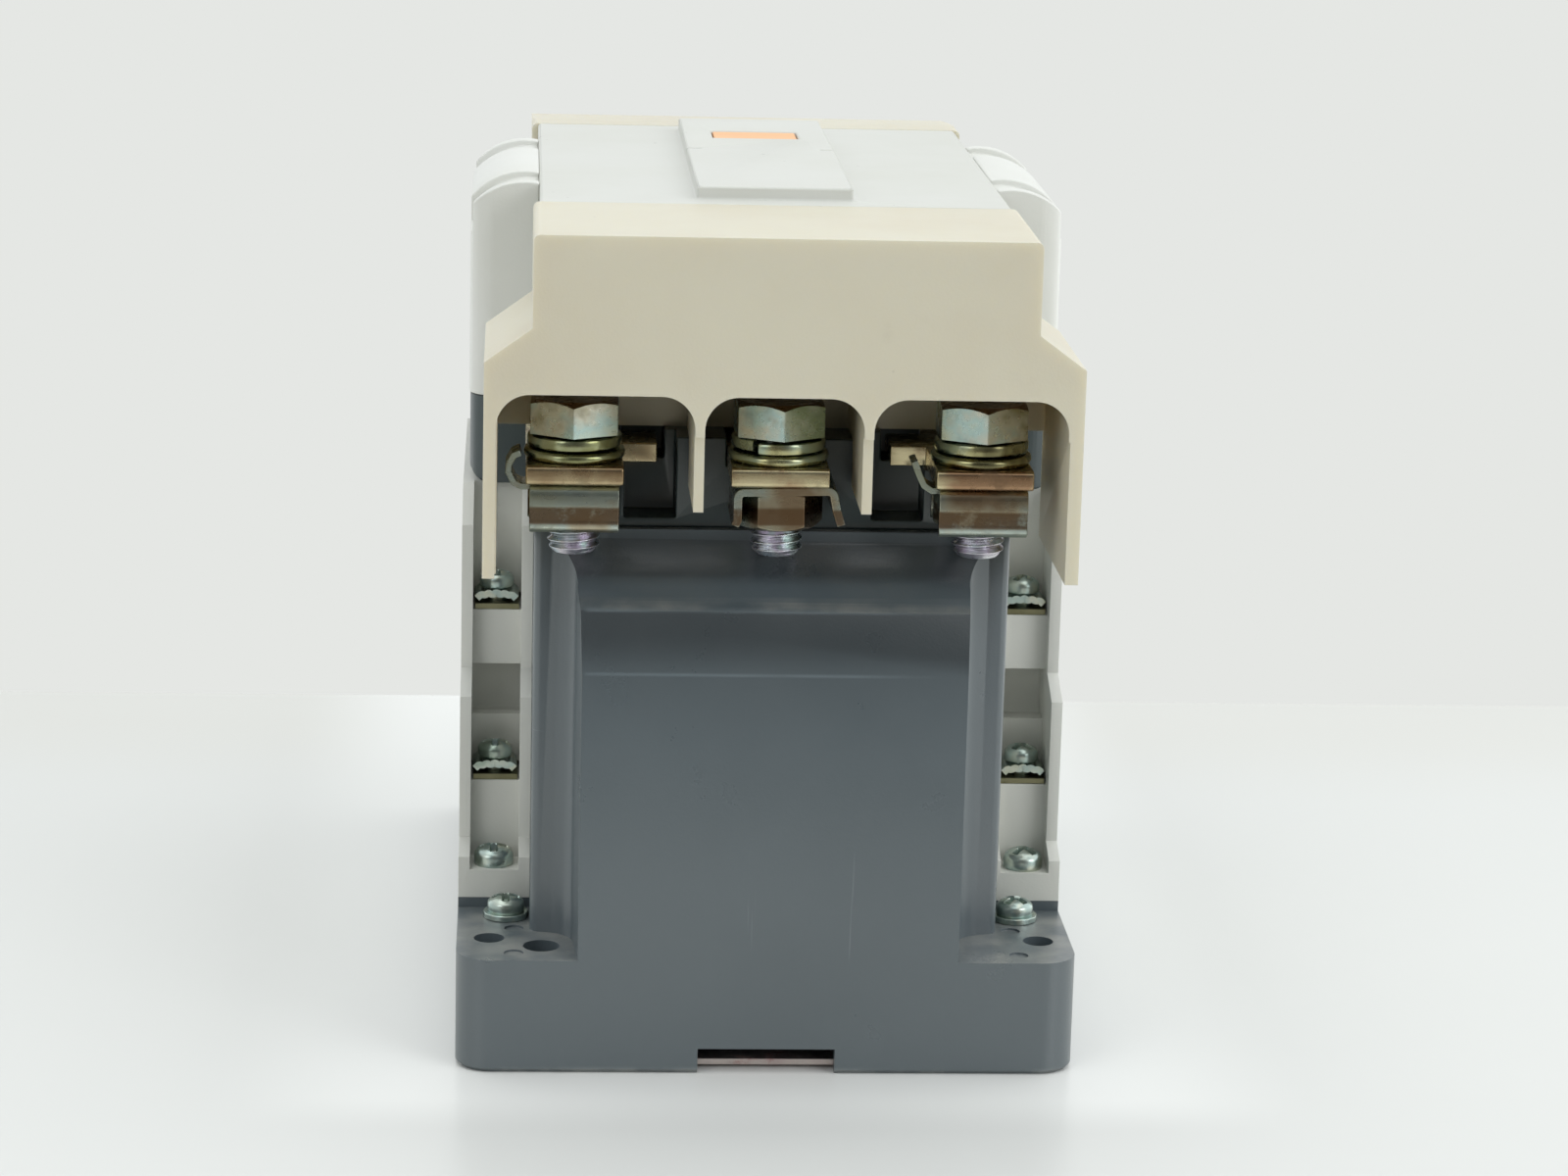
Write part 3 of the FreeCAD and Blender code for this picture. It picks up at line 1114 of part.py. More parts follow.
base_frame().exportStep("parts/base_frame.step")
back_plate().exportStep("parts/back_plate.step")
base_screws().exportStep("parts/base_screws.step")
base_screw_washers().exportStep("parts/base_screw_washers.step")
core_cushions().exportStep("parts/core_cushions.step")
fixed_core().exportStep("parts/fixed_core.step")
shading_rings().exportStep("parts/shading_rings.step")
coil_bobbin().exportStep("parts/coil_bobbin.step")
coil_winding().exportStep("parts/coil_winding.step")
coil_terminal_plates().exportStep("parts/coil_terminal_plates.step")
coil_terminal_screws().exportStep("parts/coil_terminal_screws.step")
return_spring(-1).exportStep("parts/return_spring_1.step")
return_spring(1).exportStep("parts/return_spring_2.step")
armature().exportStep("parts/armature.step")
retainer(0.0).exportStep("parts/armature_pin.step")
contact_carrier().exportStep("parts/contact_carrier.step")
upper_frame().exportStep("parts/upper_frame.step")
fixed_contact_tips().exportStep("parts/fixed_contact_tips.step")
for i, pole_x in enumerate(POLES):
    bar = contact_bar(pole_x)
    flip_y(bar).exportStep("parts/load_contact_%d.step" % (i + 1))
    bar.exportStep("parts/line_contact_%d.step" % (i + 1))
    contact_bridge(pole_x).exportStep("parts/contact_bridge_%d.step" % (i + 1))
    contact_spring(pole_x).exportStep("parts/contact_spring_%d.step" % (i + 1))
hardware = {"terminal_bolts": terminal_bolts(), "nut_clips": nut_clips(), "nuts": terminal_nuts()}
hardware["flat_washers"] = washers(FLAT_WASHER_R, FLAT_WASHER_Z, FLAT_WASHER_T)
hardware["spring_washers"] = washers(SPRING_WASHER_R, SPRING_WASHER_Z, SPRING_WASHER_T)
hardware["deion_plates"] = deion_plates()
for name, shape in hardware.items():
    flip_y(shape).exportStep("parts/load_%s.step" % name)
    shape.exportStep("parts/line_%s.step" % name)
arc_cover().exportStep("parts/arc_cover.step")
front_cover().exportStep("parts/front_cover.step")
indicator().exportStep("parts/indicator.step")
terminal_cover(0.0).exportStep("parts/load_terminal_cover.step")
flip_y(terminal_cover(LINE_DROP)).exportStep("parts/line_terminal_cover.step")
aux_terminal_screws().exportStep("parts/aux_terminal_screws.step")
aux_fixing_screws().exportStep("parts/aux_fixing_screws.step")
for word, sign in (("left", -1), ("right", 1)):
    aux_case(sign).exportStep("parts/%s_aux_case.step" % word)
    aux_terminals(sign).exportStep("parts/%s_aux_terminals.step" % word)
    aux_clamps(sign).exportStep("parts/%s_aux_clamps.step" % word)
    aux_slider(sign).exportStep("parts/%s_aux_slider.step" % word)
    aux_contact_bridges(sign).exportStep("parts/%s_aux_contact_bridges.step" % word)
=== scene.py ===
"""Looks of a three-pole magnetic contactor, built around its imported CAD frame."""

import json
import logging
import math
from dataclasses import dataclass
from enum import Enum
from typing import Any, Iterable, Optional, Sequence

import bmesh
import bpy
import numpy as np
from mathutils import Matrix, Vector

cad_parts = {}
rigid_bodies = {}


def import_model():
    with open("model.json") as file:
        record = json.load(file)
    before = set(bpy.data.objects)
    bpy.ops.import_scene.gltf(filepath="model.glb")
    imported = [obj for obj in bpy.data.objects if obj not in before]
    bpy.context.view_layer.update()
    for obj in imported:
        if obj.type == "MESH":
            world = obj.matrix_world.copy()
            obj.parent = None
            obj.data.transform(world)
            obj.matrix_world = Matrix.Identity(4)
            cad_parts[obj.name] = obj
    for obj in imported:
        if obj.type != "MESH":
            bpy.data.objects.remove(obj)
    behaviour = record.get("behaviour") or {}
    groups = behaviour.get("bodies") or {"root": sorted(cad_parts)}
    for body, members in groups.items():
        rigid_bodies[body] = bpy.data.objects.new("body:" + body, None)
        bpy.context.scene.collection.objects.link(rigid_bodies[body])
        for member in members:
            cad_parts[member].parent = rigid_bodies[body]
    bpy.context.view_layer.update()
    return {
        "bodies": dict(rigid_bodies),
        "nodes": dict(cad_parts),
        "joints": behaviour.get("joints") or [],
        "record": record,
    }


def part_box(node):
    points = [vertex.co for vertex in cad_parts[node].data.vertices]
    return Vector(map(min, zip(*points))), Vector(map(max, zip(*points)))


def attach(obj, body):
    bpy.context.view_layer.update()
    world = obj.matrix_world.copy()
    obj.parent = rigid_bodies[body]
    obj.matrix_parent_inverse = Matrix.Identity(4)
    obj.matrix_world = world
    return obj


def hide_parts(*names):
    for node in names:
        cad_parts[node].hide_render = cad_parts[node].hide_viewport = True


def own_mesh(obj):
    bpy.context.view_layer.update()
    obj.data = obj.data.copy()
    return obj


LOG = logging.getLogger("contactor")
Triple = tuple[float, float, float]
Colour = Triple


def linear(*levels: int) -> Colour:
    """Turns an eight-bit display colour into the linear colour that shaders take.

    Args:
        *levels: Red, green and blue, 0 to 255.

    Returns:
        The three linear levels.
    """
    shown = np.array(levels) / 255.0
    red, green, blue = np.where(shown <= 0.04045, shown / 12.92, ((shown + 0.055) / 1.055) ** 2.4)
    return float(red), float(green), float(blue)


def tints(*colours: tuple[int, int, int]) -> tuple[Colour, ...]:
    """Several display colours as linear ones."""
    return tuple(linear(*levels) for levels in colours)


def scaled(colour: Colour, factor: float, more: float = 0.0) -> Colour:
    """A colour with each level times the factor, plus more, and at most 1."""
    red, green, blue = (min(1.0, factor * level + more) for level in colour)
    return red, green, blue


# Shader maths


class Value:
    """A shader socket that takes part in Python arithmetic."""

    def __init__(self, tree: bpy.types.NodeTree, socket: bpy.types.NodeSocket) -> None:
        """Keeps the socket and its tree."""
        self.tree = tree
        self.socket = socket

    def feed(self, slot: bpy.types.NodeSocket) -> None:
        """Links this value into an input."""
        self.tree.links.new(self.socket, slot)

    def math(self, operation: str, *terms: Any) -> "Value":
        """Adds one Math node.

        Args:
            operation: The node's operation.
            *terms: Its inputs in order, values or numbers.

        Returns:
            The node's result.
        """
        node = self.tree.nodes.new("ShaderNodeMath")
        node.operation = operation
        for slot, term in zip(node.inputs, terms):
            set_input(slot, term)
        return Value(self.tree, node.outputs[0])

    def __add__(self, other: Any) -> "Value":
        """Sum."""
        return self.math("ADD", self, other)

    def __radd__(self, other: Any) -> "Value":
        """Sum with the value on the right."""
        return self.math("ADD", other, self)

    def __sub__(self, other: Any) -> "Value":
        """Difference."""
        return self.math("SUBTRACT", self, other)

    def __rsub__(self, other: Any) -> "Value":
        """Difference with the value on the right."""
        return self.math("SUBTRACT", other, self)

    def __mul__(self, other: Any) -> "Value":
        """Product."""
        return self.math("MULTIPLY", self, other)

    def __truediv__(self, other: Any) -> "Value":
        """Quotient."""
        return self.math("DIVIDE", self, other)

    def __pow__(self, other: Any) -> "Value":
        """Power."""
        return self.math("POWER", self, other)

    def larger(self, other: Any) -> "Value":
        """The larger of two values."""
        return self.math("MAXIMUM", self, other)

    def smaller(self, other: Any) -> "Value":
        """The smaller of two values."""
        return self.math("MINIMUM", self, other)

    def size(self) -> "Value":
        """The value without its sign."""
        return self.math("ABSOLUTE", self)

    def fraction(self) -> "Value":
        """What is left over the whole number below."""
        return self.math("FRACT", self)

    def rise(self, start: float, span: float) -> "Value":
        """Straight rise from 0 at start to 1 a span further on."""
        return ((self - start) / span).larger(0.0).smaller(1.0)


def set_input(slot: bpy.types.NodeSocket, term: Any) -> None:
    """Feeds an input with a link or a constant.

    Args:
        slot: The input socket.
        term: A Value, a number, a colour or a vector.
    """
    if isinstance(term, Value):
        term.feed(slot)
    elif slot.type == "RGBA" and len(term) == 3:
        slot.default_value = (*term, 1.0)
    else:
        slot.default_value = term


class Nodes:
    """A shader tree under construction."""

    def __init__(self, tree: bpy.types.NodeTree) -> None:
        """Starts with an empty tree."""
        self.tree = tree
        self.tree.nodes.clear()

    def node(self, kind: str, settings: Optional[dict] = None, values: Optional[dict] = None, out: Any = 0) -> Value:
        """Makes any node.

        Args:
            kind: The node's type.
            settings: Its settings, set first; stops gives a ramp's stops.
            values: Values or links for its inputs, by name or number.
            out: The output to return, by name or number.

        Returns:
            The chosen output.
        """
        node = self.tree.nodes.new(kind)
        for key, setting in (settings or {}).items():
            if key == "stops":
                ramp = node.color_ramp.elements
                while len(ramp) < len(setting):
                    ramp.new(0.5)
                for element, (position, colour) in zip(ramp, setting):
                    element.position = position
                    element.color = (*colour, 1.0)
            else:
                setattr(node, key, setting)
        for key, term in (values or {}).items():
            set_input(node.inputs[key], term)
        return Value(self.tree, node.outputs[out])


class Paint(Nodes):
    """One material's node tree, with its surface shader ready to be fed."""

    def __init__(self, name: str) -> None:
        """Makes an empty material with a Principled surface."""
        self.material = bpy.data.materials.new(name)
        self.material.use_nodes = True
        super().__init__(self.material.node_tree)
        self.surface = self.tree.nodes.new("ShaderNodeBsdfPrincipled")
        output = self.tree.nodes.new("ShaderNodeOutputMaterial")
        self.tree.links.new(self.surface.outputs[0], output.inputs["Surface"])
        self.place = self.node("ShaderNodeTexCoord", out="Object")

    def noise(self, scale: float, detail: float = 3.0, rough: float = 0.5, stretch: Triple = (1.0, 1.0, 1.0),
              shift: Triple = (0.0, 0.0, 0.0)) -> Value:
        """Noise over the object's own metres.

        Args:
            scale: Waves per metre.
            detail: Octaves.
            rough: Weight of the finer octaves.
            stretch: Scale along each axis.
            shift: Offset, so that two noises differ.

        Returns:
            A level around 0.5.
        """
        spot = self.node("ShaderNodeMapping", values={"Vector": self.place, "Scale": stretch, "Location": shift})
        inputs = {"Vector": spot, "Scale": scale, "Detail": detail, "Roughness": rough}
        return self.node("ShaderNodeTexNoise", values=inputs)

    def band(self, value: Value, low: float, high: float) -> Value:
        """Smooth step from 0 at low to 1 at high."""
        settings = {"interpolation_type": "SMOOTHSTEP", "clamp": True}
        inputs = {"Value": value, "From Min": low, "From Max": high}
        return self.node("ShaderNodeMapRange", settings, inputs)

    def blend(self, amount: Any, first: Any, second: Any) -> Value:
        """Mixes two colours."""
        settings = {"data_type": "RGBA", "clamp_factor": True}
        return self.node("ShaderNodeMix", settings, {0: amount, 6: first, 7: second}, out=2)

    def axis(self, letter: str) -> Value:
        """One coordinate of the surface point, in metres."""
        return self.node("ShaderNodeSeparateXYZ", values={0: self.place}, out=letter)

    def facing_up(self) -> Value:
        """How far the surface faces up, -1 to 1."""
        normal = self.node("ShaderNodeNewGeometry", out="Normal")
        return self.node("ShaderNodeSeparateXYZ", values={0: normal}, out="Z")

    def finish(self, **sockets: Any) -> bpy.types.Material:
        """Feeds the surface's sockets.

        Args:
            **sockets: Values by socket name, with underscores for spaces.

        Returns:
            The finished material.
        """
        for key, term in sockets.items():
            set_input(self.surface.inputs[key.replace("_", " ")], term)
        return self.material

    def relief(self, height: Value, depth: float, strength: float = 1.0) -> Value:
        """Bump from a height between 0 and 1.

        Args:
            height: The height field.
            depth: Height of a full step, in metres.
            strength: How much of it shows.

        Returns:
            The bent normal.
        """
        return self.node("ShaderNodeBump", values={"Strength": strength, "Distance": depth, "Height": height})


# Finishes


# X limits beyond which the painted highlight lines fade out.
HIGHLIGHT_LINE_ENDS = (0.0290, 0.0280)
# Heights of the painted brown reflection band on the clips and nuts.
REFLECTION_BELT_LOW = (0.0853, 0.0857)
REFLECTION_BELT_HIGH = (0.0884, 0.0878)


@dataclass(frozen=True)
class Moulding:
    """Moulded plastic with ageing, stains, fine scratches and specks, and where set, painted shade on slanted faces and
    painted highlight lines.
    """

    colour: Colour
    aged: Colour
    roughness: float = 0.42
    stains: float = 0.12
    scratches: float = 0.15
    specks: float = 0.0
    dust: float = 0.0
    grain: float = 0.00002
    shine: float = 1.48
    # Strength of the painted shade on slanted faces.
    painted_shade: float = 0.0
    # Heights of the painted highlight lines.
    highlight_lines: tuple[float, ...] = ()
    glow: float = 0.0

    def make(self, name: str) -> bpy.types.Material:
        """Builds the material."""
        paint = Paint(name)
        broad = paint.noise(22.0, 4.0, 0.55)
        patch = paint.noise(75.0, 5.0, 0.6, shift=(3.1, 1.7, 0.4))
        tone = paint.blend(paint.band(broad, 0.35, 0.7), self.colour, self.aged)
        stain = paint.band(patch, 0.62, 0.88) * self.stains
        tone = paint.blend(stain, tone, scaled(self.aged, 0.45))
        along = paint.noise(60.0, 3.0, 0.7, (0.25, 0.25, 9.0), (5.0, 2.0, 1.0))
        across = paint.noise(55.0, 3.0, 0.7, (9.0, 0.3, 0.3), (1.0, 7.0, 3.0))
        lines = (paint.band(along, 0.7, 0.76) + paint.band(across, 0.71, 0.77)).smaller(1.0)
        tone = paint.blend(lines * self.scratches, tone, scaled(self.colour, 0.9, 0.25))
        # Painted shade: faces tilted partly upward darken towards a dark aged colour, standing in for the shadow under
        # overhanging parts.
        if self.painted_shade:
            painted_shade_mask = paint.band(paint.facing_up(), 0.12, 0.28) * paint.band(paint.facing_up(), 0.85, 0.65)
            tone = paint.blend(painted_shade_mask * self.painted_shade, tone, scaled(self.aged, 0.2))
        # Painted highlight: thin lighter lines at the given heights across the front wall, broken up by noise, standing
        # in for light caught on edges.
        for level in self.highlight_lines:
            off = (paint.axis("Z") - level).size()
            front = paint.band(paint.axis("X").size(), *HIGHLIGHT_LINE_ENDS)
            uneven = paint.band(paint.noise(45.0, 3.0, shift=(level * 90.0, 0.0, 0.0)), 0.32, 0.68)
            painted_highlight = paint.band(off, 0.00040, 0.0) * front * uneven
            tone = paint.blend(painted_highlight * 0.45, tone, scaled(self.colour, 1.8))
        if self.highlight_lines:
            rubbed = paint.band(paint.axis("Z"), 0.0013, 0.0002) * paint.band(paint.noise(130.0, 4.0), 0.42, 0.6)
            tone = paint.blend(rubbed * 0.6, tone, linear(150, 154, 154))
        if self.dust:
            lying = paint.band(paint.facing_up(), 0.85, 0.97) * paint.band(paint.noise(160.0, 4.0), 0.25, 0.75)
            tone = paint.blend(lying * self.dust, tone, linear(176, 174, 166))
        if self.specks:
            cells = paint.node("ShaderNodeTexVoronoi", {"feature": "F1"}, {"Vector": paint.place, "Scale": 210.0})
            chance = paint.band(paint.noise(95.0, 2.0, shift=(9.0, 4.0, 2.0)), 0.60, 0.66)
            dots = paint.band(cells, 0.075, 0.05) * chance
            tone = paint.blend(dots * self.specks, tone, linear(70, 58, 44))
        fine = paint.noise(2600.0, 2.0)
        rough = self.roughness + (patch - 0.5) * 0.18 + lines * 0.1
        height = fine + lines * -0.6
        if self.glow:
            paint.finish(Subsurface_Weight=self.glow, Subsurface_Radius=(1.0, 0.85, 0.55), Subsurface_Scale=0.004)
        return paint.finish(Base_Color=tone, Roughness=rough, Normal=paint.relief(height, self.grain), IOR=self.shine)


@dataclass(frozen=True)
class Plating:
    """Bright zinc plating with faint colour play, grime, and painted brown reflections on upward faces and in a band of
    heights.
    """

    tints: tuple[Colour, ...]
    grime: Colour
    roughness: float = 0.24
    dirt: float = 0.5
    scale: float = 70.0
    # Strength of the painted brown reflection on upward faces.
    painted_reflection_top: float = 0.0
    # Strength of the painted brown reflection band.
    painted_reflection_belt: float = 0.0

    def make(self, name: str) -> bpy.types.Material:
        """Builds the material."""
        paint = Paint(name)
        play = paint.noise(self.scale, 4.0, 0.55)
        steps = [0.36 + 0.28 * i / (len(self.tints) - 1) for i in range(len(self.tints))]
        ramp = {"stops": list(zip(steps, self.tints))}
        tone = paint.node("ShaderNodeValToRGB", ramp, {0: play})
        dull = paint.noise(260.0, 5.0, 0.65, shift=(2.0, 5.0, 1.0))
        soiled = paint.band(dull, 0.52, 0.72) * self.dirt
        tone = paint.blend(soiled, tone, self.grime)
        # Painted reflection: upward faces such as bolt-head tops and chamfers turn brown, as if mirroring brown
        # surroundings.
        if self.painted_reflection_top:
            top_reflection_mask = paint.band(paint.facing_up(), 0.45, 0.80)
            tone = paint.blend(top_reflection_mask * self.painted_reflection_top, tone, linear(104, 72, 54))
        # Painted reflection: a brown band between two heights, broken up by noise, on the clips' lower legs and the
        # nuts.
        if self.painted_reflection_belt:
            level = paint.axis("Z")
            painted_reflection_belt = paint.band(level, *REFLECTION_BELT_LOW) * paint.band(level, *REFLECTION_BELT_HIGH) * paint.band(dull, 0.3, 0.5)
            tone = paint.blend(painted_reflection_belt * self.painted_reflection_belt, tone, linear(98, 76, 54))
        scores = paint.noise(900.0, 2.0, 0.6, (0.2, 1.0, 1.0), (4.0, 4.0, 4.0))
        rough = self.roughness + soiled * 0.35 + (scores - 0.5) * 0.12
        normal = paint.relief(scores + dull * 0.6, 0.00001)
        return paint.finish(Base_Color=tone, Metallic=1.0 - soiled * 0.35, Roughness=rough, Normal=normal)


@dataclass(frozen=True)
class Laminate:
    """Stacked steel sheets, seen as fine lines across one axis."""

    colour: Colour
    pitch: float = 0.0005

    def make(self, name: str) -> bpy.types.Material:
        """Builds the material."""
        paint = Paint(name)
        phase = (paint.axis("Y") / self.pitch).fraction()
        groove = paint.band(phase, 0.0, 0.16) * paint.band(phase, 1.0, 0.84)
        tone = paint.blend(groove, scaled(self.colour, 0.35), self.colour)
        rust = paint.band(paint.noise(120.0, 5.0, 0.6), 0.6, 0.75) * 0.5
        tone = paint.blend(rust, tone, linear(104, 66, 44))
        normal = paint.relief(groove, 0.00006)
        return paint.finish(Base_Color=tone, Metallic=0.9, Roughness=0.42 + rust * 0.3, Normal=normal)


@dataclass(frozen=True)
class Winding:
    """Enamelled wire laid in rows, lacquered, with painted shade towards the sides of each wire."""

    colour: Colour
    wire: float = 0.0006

    def make(self, name: str) -> bpy.types.Material:
        """Builds the material."""
        paint = Paint(name)
        phase = (paint.axis("Z") / self.wire).fraction()
        wire_profile_and_shade = ((phase - 0.5) * (phase - 0.5) * -4.0 + 1.0).larger(0.0) ** 0.5
        # Painted shade: each wire darkens towards its sides by the round profile that also bends its normal.
        tone = paint.blend(wire_profile_and_shade, scaled(self.colour, 0.3), self.colour)
        normal = paint.relief(wire_profile_and_shade, self.wire * 0.4)
        return paint.finish(Base_Color=tone, Metallic=0.7, Roughness=0.32, Normal=normal, Coat_Weight=0.4)


@dataclass(frozen=True)
class Rubber:
    """Matt black rubber with a light bloom."""

    colour: Colour

    def make(self, name: str) -> bpy.types.Material:
        """Builds the material."""
        paint = Paint(name)
        bloom = paint.band(paint.noise(140.0, 4.0), 0.4, 0.8)
        tone = paint.blend(bloom * 0.5, self.colour, scaled(self.colour, 2.5, 0.01))
        normal = paint.relief(paint.noise(1800.0), 0.00003)
        return paint.finish(Base_Color=tone, Roughness=0.75 + bloom * 0.1, Normal=normal)


ZINC_TINTS = tints((152, 166, 138), (184, 192, 176), (168, 190, 186), (190, 188, 172), (150, 144, 116))
CLIP_TINTS = tints((134, 142, 118), (156, 162, 146), (150, 160, 152), (152, 146, 126), (132, 116, 94))
WASHER_TINTS = tints((128, 130, 92), (170, 176, 144), (150, 164, 146), (176, 172, 128), (112, 108, 78))
SCREW_TINTS = tints((158, 174, 162), (188, 198, 188), (170, 188, 184), (194, 198, 184), (158, 170, 148))
BRASS_TINTS = tints((156, 134, 104), (192, 178, 144), (206, 196, 160), (160, 130, 102))


class Finish(Enum):
    """The contactor's finishes."""

    # The base: painted shade on its slanted band and slope, and painted highlight lines at two heights.
    DARK = Moulding(linear(89, 99, 104), linear(85, 95, 100), 0.30, 0.04, 0.22, 0.0, 0.45, shine=1.75, painted_shade=0.74,
                    highlight_lines=(0.0630, 0.0720))
    # The upper frame: the base's dark plastic painted darker as the shade under the terminal shroud, with painted shade
    # on slanted faces.
    UPPER = Moulding(linear(54, 67, 69), linear(49, 62, 64), 0.32, 0.08, 0.12, 0.0, 0.16, shine=1.65, painted_shade=0.35)
    ARC = Moulding(linear(222, 223, 219), linear(217, 218, 212), 0.38, 0.06, 0.05, 0.15)
    COVER = Moulding(linear(208, 209, 204), linear(204, 205, 198), 0.42, 0.10, 0.05, 0.35)
    AUX = Moulding(linear(222, 223, 217), linear(216, 217, 210), 0.45, 0.14, 0.10, 0.2, 0.1)
    BEIGE = Moulding(linear(211, 206, 187), linear(206, 198, 177), 0.36, 0.26, 0.05, 0.55, glow=0.25)
    ORANGE = Moulding(linear(246, 186, 132), linear(240, 178, 124), 0.4, 0.05, 0.03)
    BLACK = Moulding(linear(40, 41, 43), linear(34, 35, 37), 0.5, 0.1, 0.1)
    BOBBIN = Moulding(linear(206, 200, 182), linear(190, 180, 156), 0.5, 0.2, 0.1)
    ZINC = Plating(ZINC_TINTS, linear(94, 88, 70), 0.28, 0.30, painted_reflection_top=0.85)
    WASHER = Plating(WASHER_TINTS, linear(82, 78, 52), 0.24, 0.35, 60.0)
    SCREW = Plating(SCREW_TINTS, linear(88, 92, 80), 0.30, 0.22, 120.0)
    AUX_PLATE = Plating(tints((122, 120, 92), (142, 140, 112)), linear(78, 72, 52), 0.4, 0.5, 80.0)
    ZINC_DULL = Plating(CLIP_TINTS, linear(88, 74, 56), 0.28, 0.30, 60.0, painted_reflection_belt=0.85)
    THREAD = Plating(tints((188, 200, 212), (208, 210, 216), (204, 196, 212), (192, 206, 204)),
                     linear(110, 104, 112), 0.28, 0.2, 160.0)
    BRASS = Plating(BRASS_TINTS, linear(72, 56, 36), 0.26, 0.45, 60.0)
    COPPER = Plating(tints((190, 120, 88), (206, 136, 100), (176, 104, 76)), linear(70, 40, 30), 0.3, 0.3)
    SILVER = Plating(tints((206, 206, 202), (220, 220, 216)), linear(120, 116, 108), 0.3, 0.25)
    SPRING = Plating(tints((170, 172, 172), (196, 198, 198)), linear(80, 76, 70), 0.25, 0.2)
    PLATE = Plating(tints((206, 190, 188), (214, 204, 200), (186, 176, 176)), linear(150, 66, 60), 0.4, 0.6, 90.0)
    IRON = Laminate(linear(150, 150, 150))
    WIRE = Winding(linear(190, 96, 56))
    RUBBER = Rubber(linear(34, 34, 35))

    def material(self) -> bpy.types.Material:
        """The shared material of this finish, made once."""
        name = f"finish_{self.name.lower()}"
        found = bpy.data.materials.get(name)
        return found or self.value.make(name)


# Shapes


def around(steps: int) -> np.ndarray:
    """Even angles round a full turn, from 0."""
    return np.linspace(0.0, 2 * math.pi, steps, endpoint=False)


def polar(radius: Any, angle: Any, height: Any) -> np.ndarray:
    """Points (r cos a, r sin a, z), from numbers or arrays that fit together."""
    return np.stack(np.broadcast_arrays(radius * np.cos(angle), radius * np.sin(angle), height), axis=-1)


def lifted(line: Any, axis: int, place: float = 0.0) -> np.ndarray:
    """The points of a flat line, with one more coordinate put in at the given axis."""
    return np.insert(np.array(line, float), axis, place, axis=1)


def add_object(name: str, data: Any) -> bpy.types.Object:
    """Puts a new object with its data into the scene."""
    added = bpy.data.objects.new(name, data)
    bpy.context.scene.collection.objects.link(added)
    return added


def add_piece(name: str, mesh: bpy.types.Mesh, finish: Finish, smooth: float) -> bpy.types.Object:
    """Shades a mesh, gives it its finish and puts it into the scene.

    Args:
        name: The piece's name.
        mesh: Its mesh.
        finish: Its finish.
        smooth: Edges that turn more than this many degrees stay sharp.

    Returns:
        The new object, at the origin.
    """
    mesh.shade_smooth()
    mesh.set_sharp_from_angle(angle=math.radians(smooth))
    mesh.materials.clear()
    mesh.materials.append(finish.material())
    return add_object(name, mesh)


